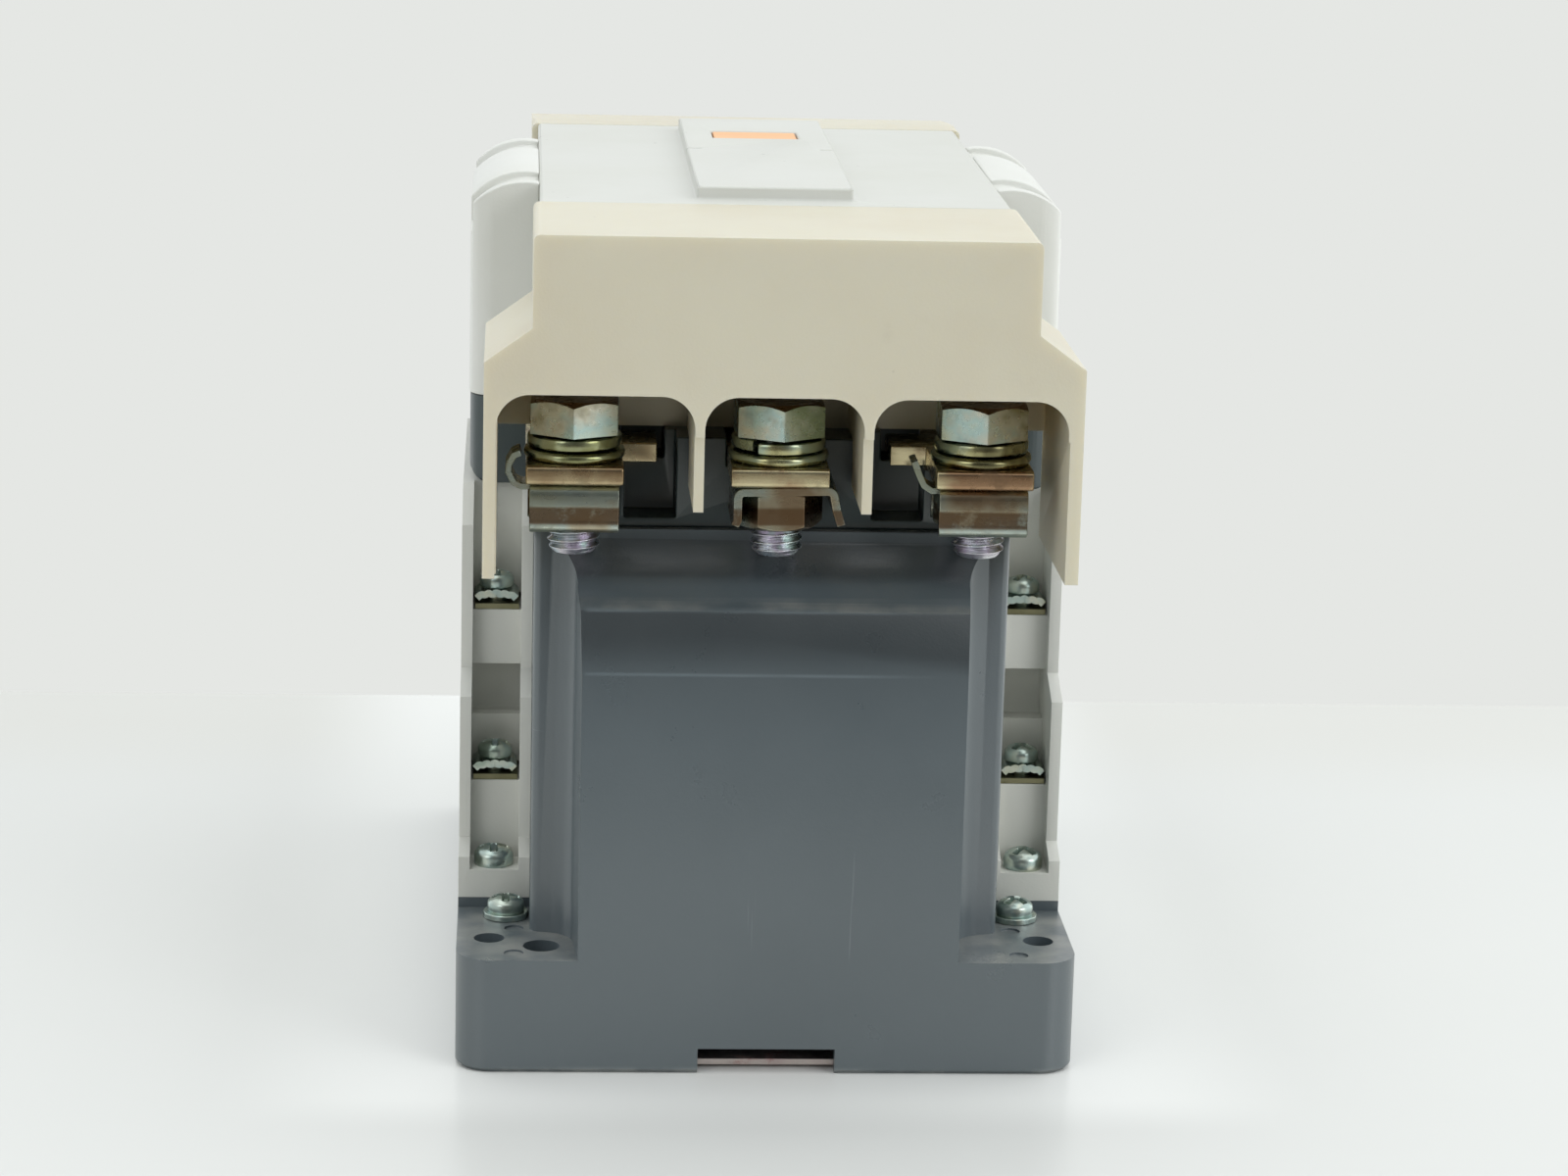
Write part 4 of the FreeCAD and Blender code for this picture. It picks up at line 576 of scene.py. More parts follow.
@dataclass
class Shape:
    """Points and faces of closed surfaces, before they become a mesh."""

    points: np.ndarray
    faces: list[list[int]]

    @staticmethod
    def loft(rings: np.ndarray, capped: bool = True) -> "Shape":
        """Skins a grid of closed rings.

        Point (i, j) of the grid joins (i, j+1), (i+1, j+1) and (i+1, j), with j taken round the ring.

        Args:
            rings: Array of shape (rings, points, 3).
            capped: Whether the two end rings are closed; otherwise the last ring joins the first.

        Returns:
            The closed shape, with its faces outwards.
        """
        count, size = rings.shape[:2]
        spans = count - 1 if capped else count
        i, j = np.meshgrid(np.arange(spans), np.arange(size), indexing="ij")
        low, high = i * size, ((i + 1) % count) * size
        turn = (j + 1) % size
        quads = np.stack([low + j, low + turn, high + turn, high + j], axis=-1).reshape(-1, 4)
        faces = quads.tolist()
        if capped:
            faces.append(list(range(size))[::-1])
            faces.append([(count - 1) * size + k for k in range(size)])
        shape = Shape(rings.reshape(-1, 3).astype(float), faces)
        return shape if shape.volume() > 0 else shape.reversed()

    @staticmethod
    def revolve(profile: Sequence[tuple[float, float]], segments: int = 72, capped: bool = False) -> "Shape":
        """Turns a profile of (radius, height) pairs about the upright axis.

        Args:
            profile: The profile.
            segments: Steps round the axis.
            capped: Whether the profile's ends are closed by flat caps; otherwise it is a closed loop.

        Returns:
            The turned shape.
        """
        r, z = np.array(profile, float).T[:, :, None]
        return Shape.loft(polar(r, around(segments), z), capped)

    @staticmethod
    def slab(thick: float, wide: float) -> np.ndarray:
        """A rectangular section for a sweep, thick across the bend and wide along the up direction."""
        return np.array([(-thick, -wide), (thick, -wide), (thick, wide), (-thick, wide)]) / 2

    @staticmethod
    def sweep(path: np.ndarray, section: np.ndarray, up: Triple = (0.0, 0.0, 1.0)) -> "Shape":
        """Carries a flat section along a path.

        Each point is path + u side + v top, with side square to the path and to up.

        Args:
            path: Points of shape (n, 3).
            section: Pairs (u, v) round the section.
            up: A direction that the path never runs along.

        Returns:
            The swept shape, with its ends closed.
        """
        run = np.gradient(path, axis=0)
        run /= np.linalg.norm(run, axis=1, keepdims=True)
        side = np.cross(run, np.array(up))
        side /= np.linalg.norm(side, axis=1, keepdims=True)
        top = np.cross(side, run)
        rings = path[:, None, :] + section[None, :, :1] * side[:, None, :] + section[None, :, 1:] * top[:, None, :]
        return Shape.loft(rings)

    @staticmethod
    def joined(shapes: Iterable["Shape"]) -> "Shape":
        """Puts several shapes into one."""
        points, faces, start = [], [], 0
        for shape in shapes:
            points.append(shape.points)
            faces += [[start + k for k in face] for face in shape.faces]
            start += len(shape.points)
        return Shape(np.concatenate(points), faces)

    def volume(self) -> float:
        """Signed volume, from the triangle fans of all faces."""
        fans = np.array([(f[0], f[k], f[k + 1]) for f in self.faces for k in range(1, len(f) - 1)])
        a, b, c = (self.points[fans[:, k]] for k in range(3))
        return float(np.einsum("ij,ij->i", a, np.cross(b, c)).sum()) / 6

    def reversed(self) -> "Shape":
        """The same shape with its faces turned round."""
        return Shape(self.points, [face[::-1] for face in self.faces])

    def placed(self, x: float = 0.0, y: float = 0.0, z: float = 0.0, turn: float = 0.0) -> "Shape":
        """Turns the shape about the upright axis, then moves it.

        Args:
            x: Move along X, in metres.
            y: Move along Y, in metres.
            z: Move along Z, in metres.
            turn: Turn in degrees.

        Returns:
            The placed copy.
        """
        a = math.radians(turn)
        turned = self.points @ np.array([[math.cos(a), math.sin(a), 0], [-math.sin(a), math.cos(a), 0], [0, 0, 1]])
        return Shape(turned + np.array([x, y, z]), self.faces)

    def mirrored(self, axis: int) -> "Shape":
        """The mirror image across the plane through the origin, with its faces outwards."""
        points = self.points.copy()
        points[:, axis] *= -1
        return Shape(points, [face[::-1] for face in self.faces])

    def build(self, name: str, finish: Finish, smooth: float = 35.0) -> bpy.types.Object:
        """Makes the Blender object.

        Args:
            name: The piece's name.
            finish: Its finish.
            smooth: Edges that turn more than this many degrees stay sharp.

        Returns:
            The new object, at the origin.
        """
        mesh = bpy.data.meshes.new(name)
        mesh.from_pydata(self.points.tolist(), [], self.faces)
        return add_piece(name, mesh, finish, smooth)


def rounded(piece: bpy.types.Object, width: float, segments: int = 2, angle: float = 32.0) -> bpy.types.Object:
    """Rounds a piece's edges with a live Bevel modifier.

    Args:
        piece: The piece.
        width: Width of the rounding, in metres.
        segments: Steps across it.
        angle: Edges that turn less than this many degrees stay as they are.

    Returns:
        The same piece.
    """
    bevel = piece.modifiers.new("edges", "BEVEL")
    bevel.width = width
    bevel.segments = segments
    bevel.limit_method = "ANGLE"
    bevel.angle_limit = math.radians(angle)
    bevel.use_clamp_overlap = True
    bevel.harden_normals = True
    bevel.miter_outer = "MITER_ARC"
    return piece


class Frame:
    """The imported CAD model: dresses its nodes and takes rounded copies of them."""

    def __init__(self, frame: dict) -> None:
        """Keeps the frame's nodes, bodies and record."""
        self.nodes = frame["nodes"]
        self.record = frame["record"]
        self.home = {n: body for body, names in self.record["behaviour"]["bodies"].items() for n in names}
        self.slots = {part["node"]: part["material_slot"] for part in self.record["subparts"]}

    def dress(self, node: str, finish: Finish) -> None:
        """Gives a CAD node that stays a finish of its own.

        Args:
            node: The node's name.
            finish: Its finish.
        """
        target = self.nodes[node]
        target.data.materials.clear()
        target.data.materials.append(finish.material())
        LOG.info("node %s wears %s", node, finish.name)

    def stand_in(self, piece: bpy.types.Object, *nodes: str) -> bpy.types.Object:
        """Makes a piece ride on its node's body and replace the nodes.

        Args:
            piece: The new piece.
            *nodes: The CAD nodes that it stands for.

        Returns:
            The same piece.
        """
        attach(piece, self.home[nodes[0]])
        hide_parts(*nodes)
        LOG.info("piece %s stands for %s", piece.name, ", ".join(nodes))
        return piece

    def eased(self, node: str, finish: Finish, width: float, segments: int = 2,
              angle: float = 32.0) -> bpy.types.Object:
        """A merged copy of a node with rounded edges, standing for it.

        Args:
            node: The node's name.
            finish: Its finish.
            width: Width of the rounding, in metres.
            segments: Steps across the rounding.
            angle: Edges that turn less than this stay as they are.

        Returns:
            The new piece.
        """
        mesh = self.nodes[node].data.copy()
        work = bmesh.new()
        work.from_mesh(mesh)
        bmesh.ops.remove_doubles(work, verts=work.verts, dist=2e-6)
        bmesh.ops.dissolve_limit(work, angle_limit=math.radians(0.6), verts=work.verts, edges=work.edges)
        work.to_mesh(mesh)
        work.free()
        piece = add_piece(f"{node}_skin", mesh, finish, angle)
        return self.stand_in(rounded(piece, width, segments, angle), node)


# Sub-assemblies


@dataclass
class Studio:
    """Floor, lamps, surroundings and the camera of the photograph."""

    wall: Colour = linear(229, 231, 228)
    floor: Colour = linear(221, 222, 220)
    floor_end: float = 0.150
    focal_px: float = 4370.1
    width_px: float = 1600.0
    sensor: float = 36.0
    yaw: float = -3.72
    pitch: float = 13.46
    roll: float = -1.51
    place: tuple[float, float, float] = (-0.03939, -0.69147, 0.2250)
    room: Colour = (0.97, 1.0, 1.0)
    sky_top: float = 0.75
    sky_back: float = 0.70
    sky_side: float = 0.60
    sky_right: float = 0.45
    sky_dim: float = 0.15

    def camera(self) -> None:
        """Sets the camera: it looks along the yaw, down by the pitch, then turns by the roll."""
        yaw, pitch, roll = (math.radians(v) for v in (self.yaw, self.pitch, self.roll))
        ahead = Vector((-math.sin(yaw) * math.cos(pitch), math.cos(yaw) * math.cos(pitch), -math.sin(pitch)))
        level = Vector((math.cos(yaw), math.sin(yaw), 0.0))
        down = ahead.cross(level)
        right = math.cos(roll) * level + math.sin(roll) * down
        below = -math.sin(roll) * level + math.cos(roll) * down
        data = bpy.data.cameras.new("camera")
        data.sensor_width = self.sensor
        data.sensor_fit = "HORIZONTAL"
        data.lens = self.sensor * self.focal_px / self.width_px
        data.clip_start = 0.01
        data.clip_end = 20.0
        camera = add_object("camera", data)
        turn = Matrix((right, -below, -ahead)).transposed()
        camera.matrix_world = Matrix.Translation(Vector(self.place)) @ turn.to_4x4()
        bpy.context.scene.camera = camera

    def surroundings(self) -> None:
        """A pale wall for the camera; for the rest a dim room, lit from above, from behind and from the sides."""
        world = bpy.data.worlds.new("surroundings")
        bpy.context.scene.world = world
        world.use_nodes = True
        nodes = Nodes(world.node_tree)
        place = nodes.node("ShaderNodeTexCoord", out="Generated")
        across, ahead, height = (nodes.node("ShaderNodeSeparateXYZ", values={0: place}, out=way) for way in "XYZ")
        direct, through = (nodes.node("ShaderNodeLightPath", out=f"Is {ray} Ray") for ray in ("Camera", "Transmission"))
        sides = across.size().rise(0.40, 0.45) * self.sky_side + across.rise(0.35, 0.45) * self.sky_right
        above, behind = height.rise(0.55, 0.40), ahead.rise(0.05, 0.60)
        sky = above * self.sky_top + behind * self.sky_back + sides + self.sky_dim
        room, wall = (nodes.node("ShaderNodeBackground", values={"Color": colour, "Strength": level})
                      for colour, level in ((self.room, sky), (self.wall, 1.0)))
        mix = nodes.node("ShaderNodeMixShader", values={0: direct.larger(through), 1: room, 2: wall})
        mix.feed(nodes.tree.nodes.new("ShaderNodeOutputWorld").inputs["Surface"])

    def ground(self) -> None:
        """The table: pale for the camera, with painted shade towards the wall seam and painted light around the foot,
        and with a brown far end for the reflections in the metal.
        """
        half, near, far = 2.5, -3.0, self.floor_end
        points = [(-half, near, 0.0), (half, near, 0.0), (half, far, 0.0), (-half, far, 0.0)]
        mesh = bpy.data.meshes.new("table")
        mesh.from_pydata(points, [], [(0, 1, 2, 3)])
        table = add_object("table", mesh)
        paint = Paint("table_top")
        along, middle = paint.axis("Y"), paint.axis("X").size()
        # Painted shade: the floor darkens towards the seam with the wall.
        painted_seam_shade = paint.band(along, far - 0.075, far - 0.02)
        tone = paint.blend(painted_seam_shade * 0.6, self.floor, linear(216, 215, 209))
        end = paint.band(along, -0.46, -0.54) * paint.band(middle, 0.50, 0.34)
        hidden = paint.blend(end, linear(222, 221, 216), linear(98, 78, 58))
        seen = paint.node("ShaderNodeLightPath", out="Is Camera Ray")
        # Painted light: the camera-seen floor is lighter close around the contactor's foot, lifting its contact shadow.
        painted_light_at_foot = paint.band(middle, 0.085, 0.052) * paint.band(along, -0.098, -0.082)
        tone = paint.blend(painted_light_at_foot, tone, linear(238, 239, 237))
        tone = paint.blend(seen, hidden, tone)
        mesh.materials.append(paint.finish(Base_Color=tone, Roughness=0.26))

    def lamps(self) -> None:
        """One large soft lamp overhead and two smaller ones at the front corners."""
        specs = (("overhead", (-0.05, -0.15, 0.95), (0.0, 0.02, 0.05), 1.0, 2.6, (1.0, 1.0, 0.99)),
                 ("front_right", (1.0, -1.0, 0.70), (0.0, 0.0, 0.08), 0.7, 5.2, (0.98, 0.99, 1.0)),
                 ("front_left", (-0.9, -1.1, 0.75), (0.0, 0.0, 0.08), 0.7, 2.9, (0.97, 0.99, 1.0)))
        for name, spot, aim, size, watts, colour in specs:
            data = bpy.data.lights.new(name, "AREA")
            data.shape = "SQUARE"
            data.size = size
            data.energy = watts
            data.color = colour
            ahead = (Vector(aim) - Vector(spot)).normalized()
            turn = ahead.to_track_quat("-Z", "Y").to_matrix().to_4x4()
            add_object(name, data).matrix_world = Matrix.Translation(Vector(spot)) @ turn

    def build(self) -> None:
        """Makes the whole studio."""
        self.camera()
        self.surroundings()
        self.ground()
        self.lamps()
        LOG.info("studio ready")


@dataclass
class PanScrews:
    """Cross-recessed pan-head screws of one size."""

    head_radius: float
    head_height: float
    shank_radius: float
    shank_length: float

    def shape(self, turn: float) -> Shape:
        """One screw with its seat at the origin.

        The head's top is h (0.42 + 0.58 sqrt(1 - (r/R)^2)), less the recess depth inside two crossed arms.

        Args:
            turn: Turn of the recess in degrees.

        Returns:
            The screw.
        """
        big, tall, shank = self.head_radius, self.head_height, self.shank_radius
        tip = -self.shank_length
        outline = [(shank * 0.02, tip), (shank * 0.8, tip), (shank, tip + 0.0004), (shank, 0.0),
                   (big * 0.97, 0.0), (big, tall * 0.08), (big, tall * 0.40)]
        straight = len(outline)
        outline += [(big * share, 0.0) for share in np.linspace(0.985, 0.02, 40)]
        r, z = np.array(outline).T[:, :, None]
        a = around(96)
        b = a - math.radians(turn)
        u, v = np.abs(r * np.cos(b)), np.abs(r * np.sin(b))
        wide, reach = big * 0.16, big * 0.74
        arm = np.clip((wide - np.minimum(u, v)) / (big * 0.05) + 0.5, 0, 1)
        arm *= np.clip((reach - np.maximum(u, v)) / (big * 0.14), 0, 1)
        dome = tall * (0.42 + 0.58 * np.sqrt(np.clip(1 - (r / big) ** 2, 0, 1))) - arm * tall * 0.5
        return Shape.loft(polar(r, a, np.where(np.arange(len(r))[:, None] < straight, z, dome)))


@dataclass
class Assembly:
    """A group of pieces that is built around the CAD frame."""

    frame: Frame


@dataclass
class TerminalHardware(Assembly):
    """Bolts, washers, clips and nuts of one side's three main terminals."""

    side: int
    word: str
    poles: tuple[float, ...] = (-0.0305, 0.0, 0.0305)
    bolt_y: float = 0.064
    bar_top: float = 0.0945
    bar_low: float = 0.0915
    across: float = 0.013
    head_high: float = 0.0053
    shank: float = 0.004
    pitch: float = 0.00125
    tip: float = 0.0800
    flat_high: float = 0.0016
    split_high: float = 0.0023
    sheet: float = 0.001
    strap: float = 0.0133

    def hexagon(self, across: float, low: float, high: float, chamfer_low: bool, hole: float, dish: float) -> Shape:
        """A hexagon prism whose corners are cut by a cone, as on a bolt head or a nut.

        The radius is (across/2) / cos(a) for the angle a from the nearest flat, and the height falls beyond
        the chamfer circle by tan 30 degrees times the excess.

        Args:
            across: Width over the flats.
            low: Lower height.
            high: Upper height.
            chamfer_low: Whether the lower corners are cut too.
            hole: Radius of a hole through it, or 0 for none.
            dish: Depth of a shallow dish in the top.

        Returns:
            The hexagon, with flats facing X.
        """
        a = around(96)
        near = (a + math.pi / 6) % (math.pi / 3) - math.pi / 6
        edge = across / 2 / np.cos(near)
        circle = across / 2 * 0.96
        drop = np.clip(edge - circle, 0, None) * math.tan(math.radians(30))
        lip, axis = 0.0004, 0.02 * circle
        rows = [(hole, high - lip), (hole, low + lip), (hole + lip, low)] if hole else [(axis, low)]
        rows += [(circle, low), (edge, low + drop if chamfer_low else low), (edge, high - drop), (circle, high)]
        if hole:
            rows.append((hole + lip, high))
        else:
            rows += [(circle * 0.80, high), (circle * 0.74, high - dish), (axis, high - dish)]
        return Shape.loft(np.stack([polar(r, a, z) for r, z in rows]), capped=not hole)

    def thread(self, low: float, high: float) -> Shape:
        """A threaded shank: the radius swings as a triangle wave of height over the pitch, less the turn.

        Args:
            low: Height of the tip.
            high: Height where the thread ends.

        Returns:
            The shank.
        """
        rows = int((high - low) / self.pitch * 8)
        z = np.linspace(low, high, rows)[:, None]
        a = around(48)
        wave = np.abs(((z / self.pitch - a / (2 * math.pi)) % 1.0) * 2 - 1)
        depth = 0.00068 * np.clip((high - z) / self.pitch, 0, 1)
        r = self.shank * 0.985 - depth * (1 - np.clip(wave * 1.25 - 0.1, 0, 1))
        limit = self.shank * 0.74 + np.clip(z - low, 0, None) * 0.9
        return Shape.loft(polar(np.minimum(r, limit), a, z))

    def split_ring(self, radius: float, hole: float, low: float, high: float, turn: float) -> Shape:
        """A spring washer: a rounded square section carried round almost a full turn, rising a little.

        The section is (w sgn(cos b)|cos b|^0.45, h sgn(sin b)|sin b|^0.45).

        Args:
            radius: Outer radius.
            hole: Inner radius.
            low: Lower height.
            high: Upper height.
            turn: Where its gap is, in degrees.

        Returns:
            The washer.
        """
        mid, wide, tall = (radius + hole) / 2, (radius - hole) / 2, (high - low) / 2 - 0.0002
        gap, climb, steps = 0.06, 0.00018, 72
        a = np.radians(turn) + np.linspace(gap, 2 * math.pi - gap, steps)
        path = polar(mid, a, (low + high) / 2 + np.linspace(-climb, climb, steps))
        b = around(16) + math.pi / 16
        u, v = (np.sign(f) * np.abs(f) ** 0.45 for f in (np.cos(b), np.sin(b)))
        return Shape.sweep(path, np.stack([wide * u, tall * v], axis=-1))

    def clip(self, x: float) -> Shape:
        """The bent strap under a bar: a top and two creased legs in one sheet, and a bent ear.

        The strap is a path of straight runs joined by quarter arcs, with a flat section.

        Args:
            x: The pole's X, which is 0 for the strap that stands crosswise.

        Returns:
            The strap at its pole, for the side at -Y.
        """
        half, r, top = 0.00655, 0.0013, self.bar_low - self.sheet / 2
        if not x:
            return self.crosswise(top)
        leg = [(half + 0.0005, 0.0845), (half + 0.0001, 0.0850), (half - 0.0003, 0.0859), (half - 0.0003, 0.0879),
               (half, 0.0884)]
        bend = [(half - r + r * math.cos(t), top - r + r * math.sin(t)) for t in np.linspace(0, math.pi / 2, 7)]
        right = np.array(leg + bend)
        run = np.concatenate([right * (-1, 1), right[::-1]])
        strap = Shape.sweep(lifted(run, 0), Shape.slab(self.sheet, self.strap), up=(1.0, 0.0, 0.0))
        curled = [(-0.0060, -0.0002), (-0.0078, -0.0004), (-0.0090, 0.0002), (-0.0098, 0.0018), (-0.0097, 0.0030),
                  (-0.0090, 0.0043), (-0.0080, 0.0047)]
        opened = [(-0.0060, -0.0002), (-0.0076, -0.0003), (-0.0088, 0.0005), (-0.0096, 0.0022), (-0.0104, 0.0042)]
        line = lifted(curled if x < 0 else opened, 1, -0.002) + (0.0, 0.0, top)
        ear = Shape.sweep(line, Shape.slab(self.sheet, 0.005), up=(0.0, 1.0, 0.0))
        return Shape.joined([strap, ear]).placed(x, -self.bolt_y)

    def crosswise(self, top: float) -> Shape:
        """The middle strap, seen from its end: a tilted top with one straight and one splayed leg.

        Args:
            top: Height of the middle of its sheet.

        Returns:
            The strap, for the side at -Y.
        """
        arc = np.linspace(0, math.pi / 2, 6)
        r, left, right = 0.0010, -0.0062, 0.0082
        top, tilt = top - 0.00015, 0.0003
        run = [(left - 0.0004, top - 0.0054), (left, top - 0.0046)]
        run += [(left + r - r * math.cos(t), top - tilt - r + r * math.sin(t)) for t in arc]
        run += [(right - r + r * math.sin(t), top - r + r * math.cos(t)) for t in arc]
        run += [(right + 0.0004, top - 0.0030), (right + 0.0011, top - 0.0052)]
        section = Shape.slab(self.sheet * 1.25, self.strap)
        return Shape.sweep(lifted(run, 1), section, up=(0.0, 1.0, 0.0)).placed(0.0, -self.bolt_y)

    def build(self) -> None:
        """Makes the pieces of this side."""
        flat_top = self.bar_top + self.flat_high
        seat = flat_top + self.split_high
        y = -self.bolt_y
        heads, shanks, flats, splits, nuts, clips = [], [], [], [], [], []
        for x, turn, gap in zip(self.poles, (-2.0, 3.0, 1.0), (95.0, 238.0, 80.0)):
            head = self.hexagon(self.across, seat, seat + self.head_high, False, 0.0, 0.0003)
            heads.append(head.placed(x, y, 0, turn))
            shanks.append(self.thread(self.tip, seat + 0.0005).placed(x, y))
            flats.append(self.washer(self.bar_top, flat_top).placed(x, y))
            splits.append(self.split_ring(0.0071, 0.0042, flat_top, seat, gap).placed(x, y))
            nut = self.hexagon(0.012, self.bar_low - 0.007, self.bar_low - 0.001, True, 0.0040, 0.0)
            nuts.append(nut.placed(x, y, 0, 90.0 if x else 93.0))
            clips.append(self.clip(x))
        bolts = rounded(self.stand(heads + shanks, "terminal_bolts", Finish.ZINC), 0.00018, 2, 25)
        bolts.data.materials.append(Finish.THREAD.material())
        threaded = np.arange(len(bolts.data.polygons)) >= sum(len(head.faces) for head in heads)
        bolts.data.polygons.foreach_set("material_index", threaded.astype(np.int32))
        self.stand(flats, "flat_washers", Finish.WASHER)
        self.stand(splits, "spring_washers", Finish.WASHER)
        rounded(self.stand(nuts, "nuts", Finish.ZINC_DULL), 0.0002, 2, 25)
        rounded(self.stand(clips, "nut_clips", Finish.ZINC_DULL, 17.0), 0.00015)
        for k in (1, 2, 3):
            self.trim(self.frame.eased(f"{self.word}_contact_{k}", Finish.BRASS, 0.0003, 3))

    def trim(self, bar: bpy.types.Object) -> None:
        """Cuts a bar's lower outer edge aslant, as its shearing left it.

        Args:
            bar: The bar's piece.
        """
        low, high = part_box(bar.name.removesuffix("_skin"))
        end = low.y if self.side < 0 else high.y
        work = bmesh.new()
        work.from_mesh(bar.data)
        near = 2e-5
        edges = [e for e in work.edges
                 if all(abs(v.co.z - self.bar_low) < near and abs(v.co.y - end) < near for v in e.verts)]
        bmesh.ops.bevel(work, geom=edges, offset=0.0010, segments=1, affect="EDGES")
        work.to_mesh(bar.data)
        work.free()

    def washer(self, low: float, high: float) -> Shape:
        """A flat washer: a rectangle with a rolled outer edge, carried round the bolt.

        Args:
            low: Lower height.
            high: Upper height.

        Returns:
            The washer, centred on the axis.
        """
        inner, outer, e = 0.0044, 0.0076, 0.0002
        tall = high - low
        b = np.linspace(-math.pi / 2, math.pi / 2, 9)
        rim = [(outer - tall / 2 * (1 - math.cos(t)) * 0.8, (low + high) / 2 + tall / 2 * math.sin(t)) for t in b]
        return Shape.revolve([(inner, low + e), (inner + e, low), *rim, (inner + e, high), (inner, high - e)])

    def stand(self, shapes: list[Shape], noun: str, finish: Finish, smooth: float = 35.0) -> bpy.types.Object:
        """Joins this side's shapes into one piece that replaces its node.

        Args:
            shapes: The shapes, made for the side at -Y.
            noun: The node's name without its side.
            finish: The finish.
            smooth: Edges that turn more than this many degrees stay sharp.

        Returns:
            The piece.
        """
        whole = Shape.joined(shapes)
        if self.side > 0:
            whole = whole.mirrored(1)
        piece = whole.build(f"{self.word}_{noun}_piece", finish, smooth)
        return self.frame.stand_in(piece, f"{self.word}_{noun}")


@dataclass
class SmallScrews(Assembly):
    """All cross-recessed screws, by the nodes that they stand for."""

    def build(self) -> None:
        """Makes the screws."""
        sets = (
            ("base_screws", PanScrews(0.0029, 0.0026, 0.0020, 0.0160), self.spots(0.0400, 0.0505, 0.0190), 0.0, 23.0),
            ("aux_fixing_screws", PanScrews(0.0031, 0.0032, 0.00175, 0.0100), self.spots(0.0420, 0.0425, 0.0242),
             0.0, 23.0),
            ("aux_terminal_screws", PanScrews(0.0027, 0.0025, 0.00175, 0.0090),
             self.spots(0.0420, 0.0350, 0.0399) + self.spots(0.0420, 0.0280, 0.0659), 0.0, 23.0),
            ("coil_terminal_screws", PanScrews(0.0034, 0.0030, 0.0020, 0.0070),
             [(-0.020, 0.0655, 0.0670), (0.020, 0.0655, 0.0670)], 15.0, 40.0),
        )
        for noun, kind, spots, first, step in sets:
            shapes = [kind.shape((first + step * k) % 90).placed(*spot) for k, spot in enumerate(spots)]
            self.frame.stand_in(Shape.joined(shapes).build(f"{noun}_piece", Finish.SCREW, 50.0), noun)

    def spots(self, x: float, y: float, z: float) -> list[tuple[float, float, float]]:
        """The four mirrored places of a screw."""
        return [(sx * x, sy * y, z) for sx in (-1, 1) for sy in (-1, 1)]


@dataclass
class AuxBlock(Assembly):
    """One auxiliary contact block."""

    side: int
    word: str
    mid_x: float = 0.0420
    clamp_half: float = 0.0031

    def clamp(self, y: float, z: float) -> Shape:
        """A saddle clamp: a sheet of even thickness, low at its ends and pressed up in the middle.

        Its middle height is a (1 - u^4) + b cos(5 pi u), and b exp(-(u/c)^2) more at the middle, for u from -1 to 1.

        Args:
            y: Place along Y.
            z: Height of its seat.

        Returns:
            The clamp.
        """
        u = np.linspace(-1, 1, 41)
        thick = 0.0011
        height = 0.00062 * (1 - u ** 4) + 0.00010 * np.exp(-((u / 0.16) ** 2)) + 0.00010 * np.cos(5 * math.pi * u)
        path = lifted(np.stack([u * self.clamp_half, height + thick / 2 + 0.00015], axis=-1), 1)
        section = Shape.slab(2 * self.clamp_half, thick)
        return Shape.sweep(path, section).placed(self.side * self.mid_x, y, z + 0.0001)

    def build(self) -> None:
        """Makes the block's pieces."""
        frame, word = self.frame, self.word
        frame.eased(f"{word}_aux_case", Finish.AUX, 0.0003)
        frame.eased(f"{word}_aux_terminals", Finish.AUX_PLATE, 0.0001)
        shapes = []
        for y, z in ((0.0350, 0.0377), (0.0280, 0.0637)):
            shapes += [self.clamp(y, z), self.clamp(-y, z)]
        piece = Shape.joined(shapes).build(f"{word}_aux_clamps_piece", Finish.SCREW)
        rounded(frame.stand_in(piece, f"{word}_aux_clamps"), 0.00012)
        frame.dress(f"{word}_aux_slider", Finish.BLACK)
        frame.dress(f"{word}_aux_contact_bridges", Finish.BRASS)


@dataclass
class Housing(Assembly):
    """Base, upper frame, covers and indicator."""

    edge: float = 0.0004

    def fill_window(self, flag: bpy.types.Object) -> None:
        """Widens the indicator's flag to its window and lifts it nearly level with the panel.

        Args:
            flag: The indicator's piece.
        """
        spots = np.empty(3 * len(flag.data.vertices))
        flag.data.vertices.foreach_get("co", spots)
        spots = spots.reshape(-1, 3)
        x, y, z = spots.T
        spots[:, 0] = np.where(np.abs(x) > 0.0060, np.sign(x) * 0.0069, x)
        spots[:, 1] = np.where(y > 0.0240, 0.0247, np.where(y < 0.0170, 0.0163, y))
        spots[:, 2] = np.where(z > 0.1310, 0.13185, z)
        flag.data.vertices.foreach_set("co", spots.ravel())
        flag.data.update()

    def build(self) -> None:
        """Makes the housing's pieces."""
        frame = self.frame
        frame.eased("base_frame", Finish.DARK, 0.0006, 3)
        frame.eased("upper_frame", Finish.UPPER, 0.0003)
        frame.eased("arc_cover", Finish.ARC, 0.0004)
        frame.eased("front_cover", Finish.COVER, self.edge)
        frame.eased("load_terminal_cover", Finish.BEIGE, self.edge, 3)
        frame.eased("line_terminal_cover", Finish.BEIGE, self.edge, 3)
        self.fill_window(frame.eased("indicator", Finish.ORANGE, 0.0004))
        frame.eased("back_plate", Finish.PLATE, 0.0002)
        frame.eased("base_screw_washers", Finish.SCREW, 0.0002)


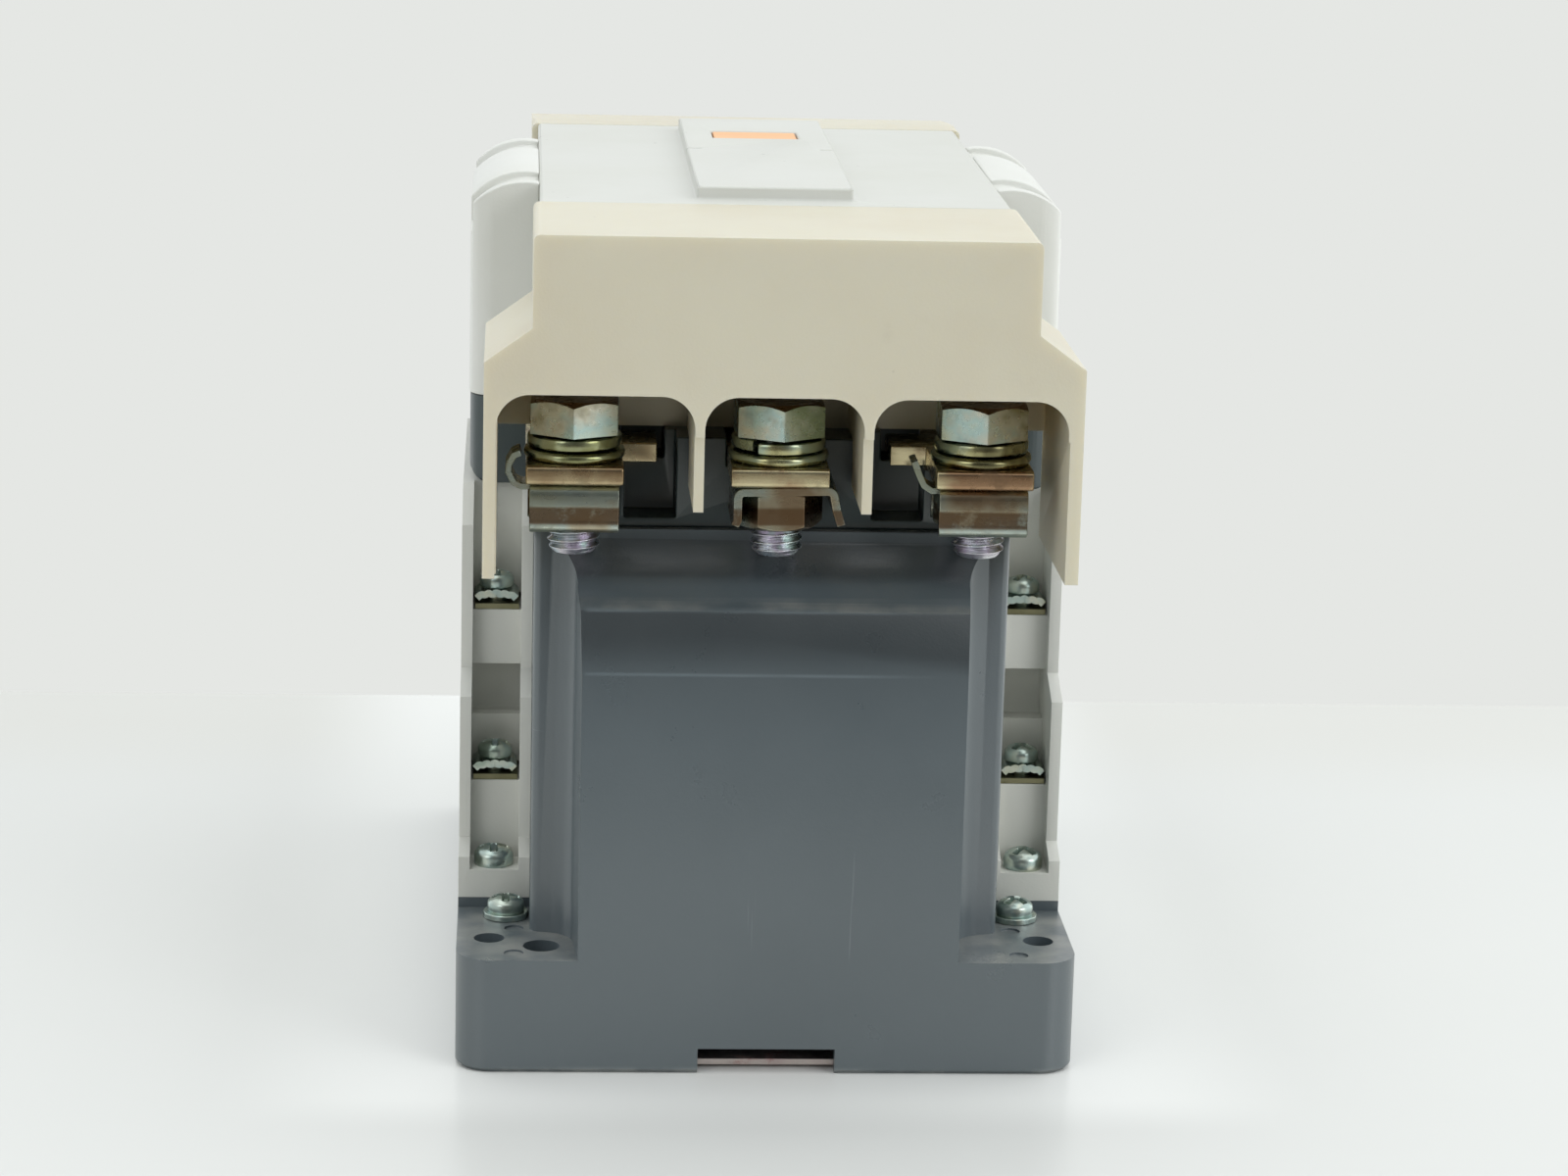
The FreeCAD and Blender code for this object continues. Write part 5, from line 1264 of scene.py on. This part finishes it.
@dataclass
class Springs(Assembly):
    """Round-wire helical springs, by the nodes that they stand for."""

    def helix(self, x: float, y: float, low: float, high: float, radius: float, wire: float, turns: float) -> Shape:
        """A round wire along a helix, with its height rising evenly.

        Args:
            x: Axis X.
            y: Axis Y.
            low: Lower end.
            high: Upper end.
            radius: Radius to the middle of the wire.
            wire: Wire thickness.
            turns: Number of turns.

        Returns:
            The spring.
        """
        a = np.linspace(0, 2 * math.pi * turns, int(turns * 24) + 1)
        z = np.linspace(low + wire / 2, high - wire / 2, len(a))
        path = polar(radius, a, z) + (x, y, 0.0)
        b = around(10)
        return Shape.sweep(path, np.stack([np.cos(b), np.sin(b)], axis=-1) * wire / 2)

    def build(self) -> None:
        """Makes the springs."""
        sets = [(f"return_spring_{k}", 0.0, y, 0.0040, 0.0011, 5.0, "armature_stroke", 0.007)
                for k, y in ((1, -0.0316), (2, 0.0316))]
        sets += [(f"contact_spring_{k}", x, 0.0, 0.0040, 0.0009, 4.0, f"contact_overtravel_{k}", 0.002)
                 for k, x in ((1, -0.0305), (2, 0.0), (3, 0.0305))]
        for node, x, y, radius, wire, turns, joint, travel in sets:
            low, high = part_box(node)
            shape = self.helix(x, y, low.z, high.z, radius, wire, turns)
            piece = self.frame.stand_in(shape.build(f"{node}_piece", Finish.SPRING, 60.0), node)
            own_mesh(piece)


@dataclass
class Interior(Assembly):
    """Magnet, coil and contacts, which the housing hides."""

    def build(self) -> None:
        """Dresses the inner nodes."""
        wear = {
            Finish.RUBBER: ("core_cushions",),
            Finish.IRON: ("fixed_core", "armature"),
            Finish.COPPER: ("shading_rings", "contact_bridge_1", "contact_bridge_2", "contact_bridge_3"),
            Finish.BOBBIN: ("coil_bobbin",),
            Finish.WIRE: ("coil_winding",),
            Finish.BRASS: ("coil_terminal_plates",),
            Finish.SPRING: ("armature_pin",),
            Finish.BLACK: ("contact_carrier",),
            Finish.SILVER: ("fixed_contact_tips",),
            Finish.ZINC_DULL: ("load_deion_plates", "line_deion_plates"),
        }
        for finish, nodes in wear.items():
            for node in nodes:
                self.frame.dress(node, finish)


def main() -> None:
    """Builds the contactor's looks in order."""
    logging.basicConfig(level=logging.INFO, format="%(name)s: %(message)s")
    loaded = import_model()
    frame = Frame(loaded)
    bpy.context.scene.view_settings.view_transform = "Standard"
    Studio().build()
    Housing(frame).build()
    for side, word in ((-1, "load"), (1, "line")):
        TerminalHardware(frame, side, word).build()
    SmallScrews(frame).build()
    for side, word in ((-1, "left"), (1, "right")):
        AuxBlock(frame, side, word).build()
    Springs(frame).build()
    Interior(frame).build()


if __name__ == "__main__":
    main()
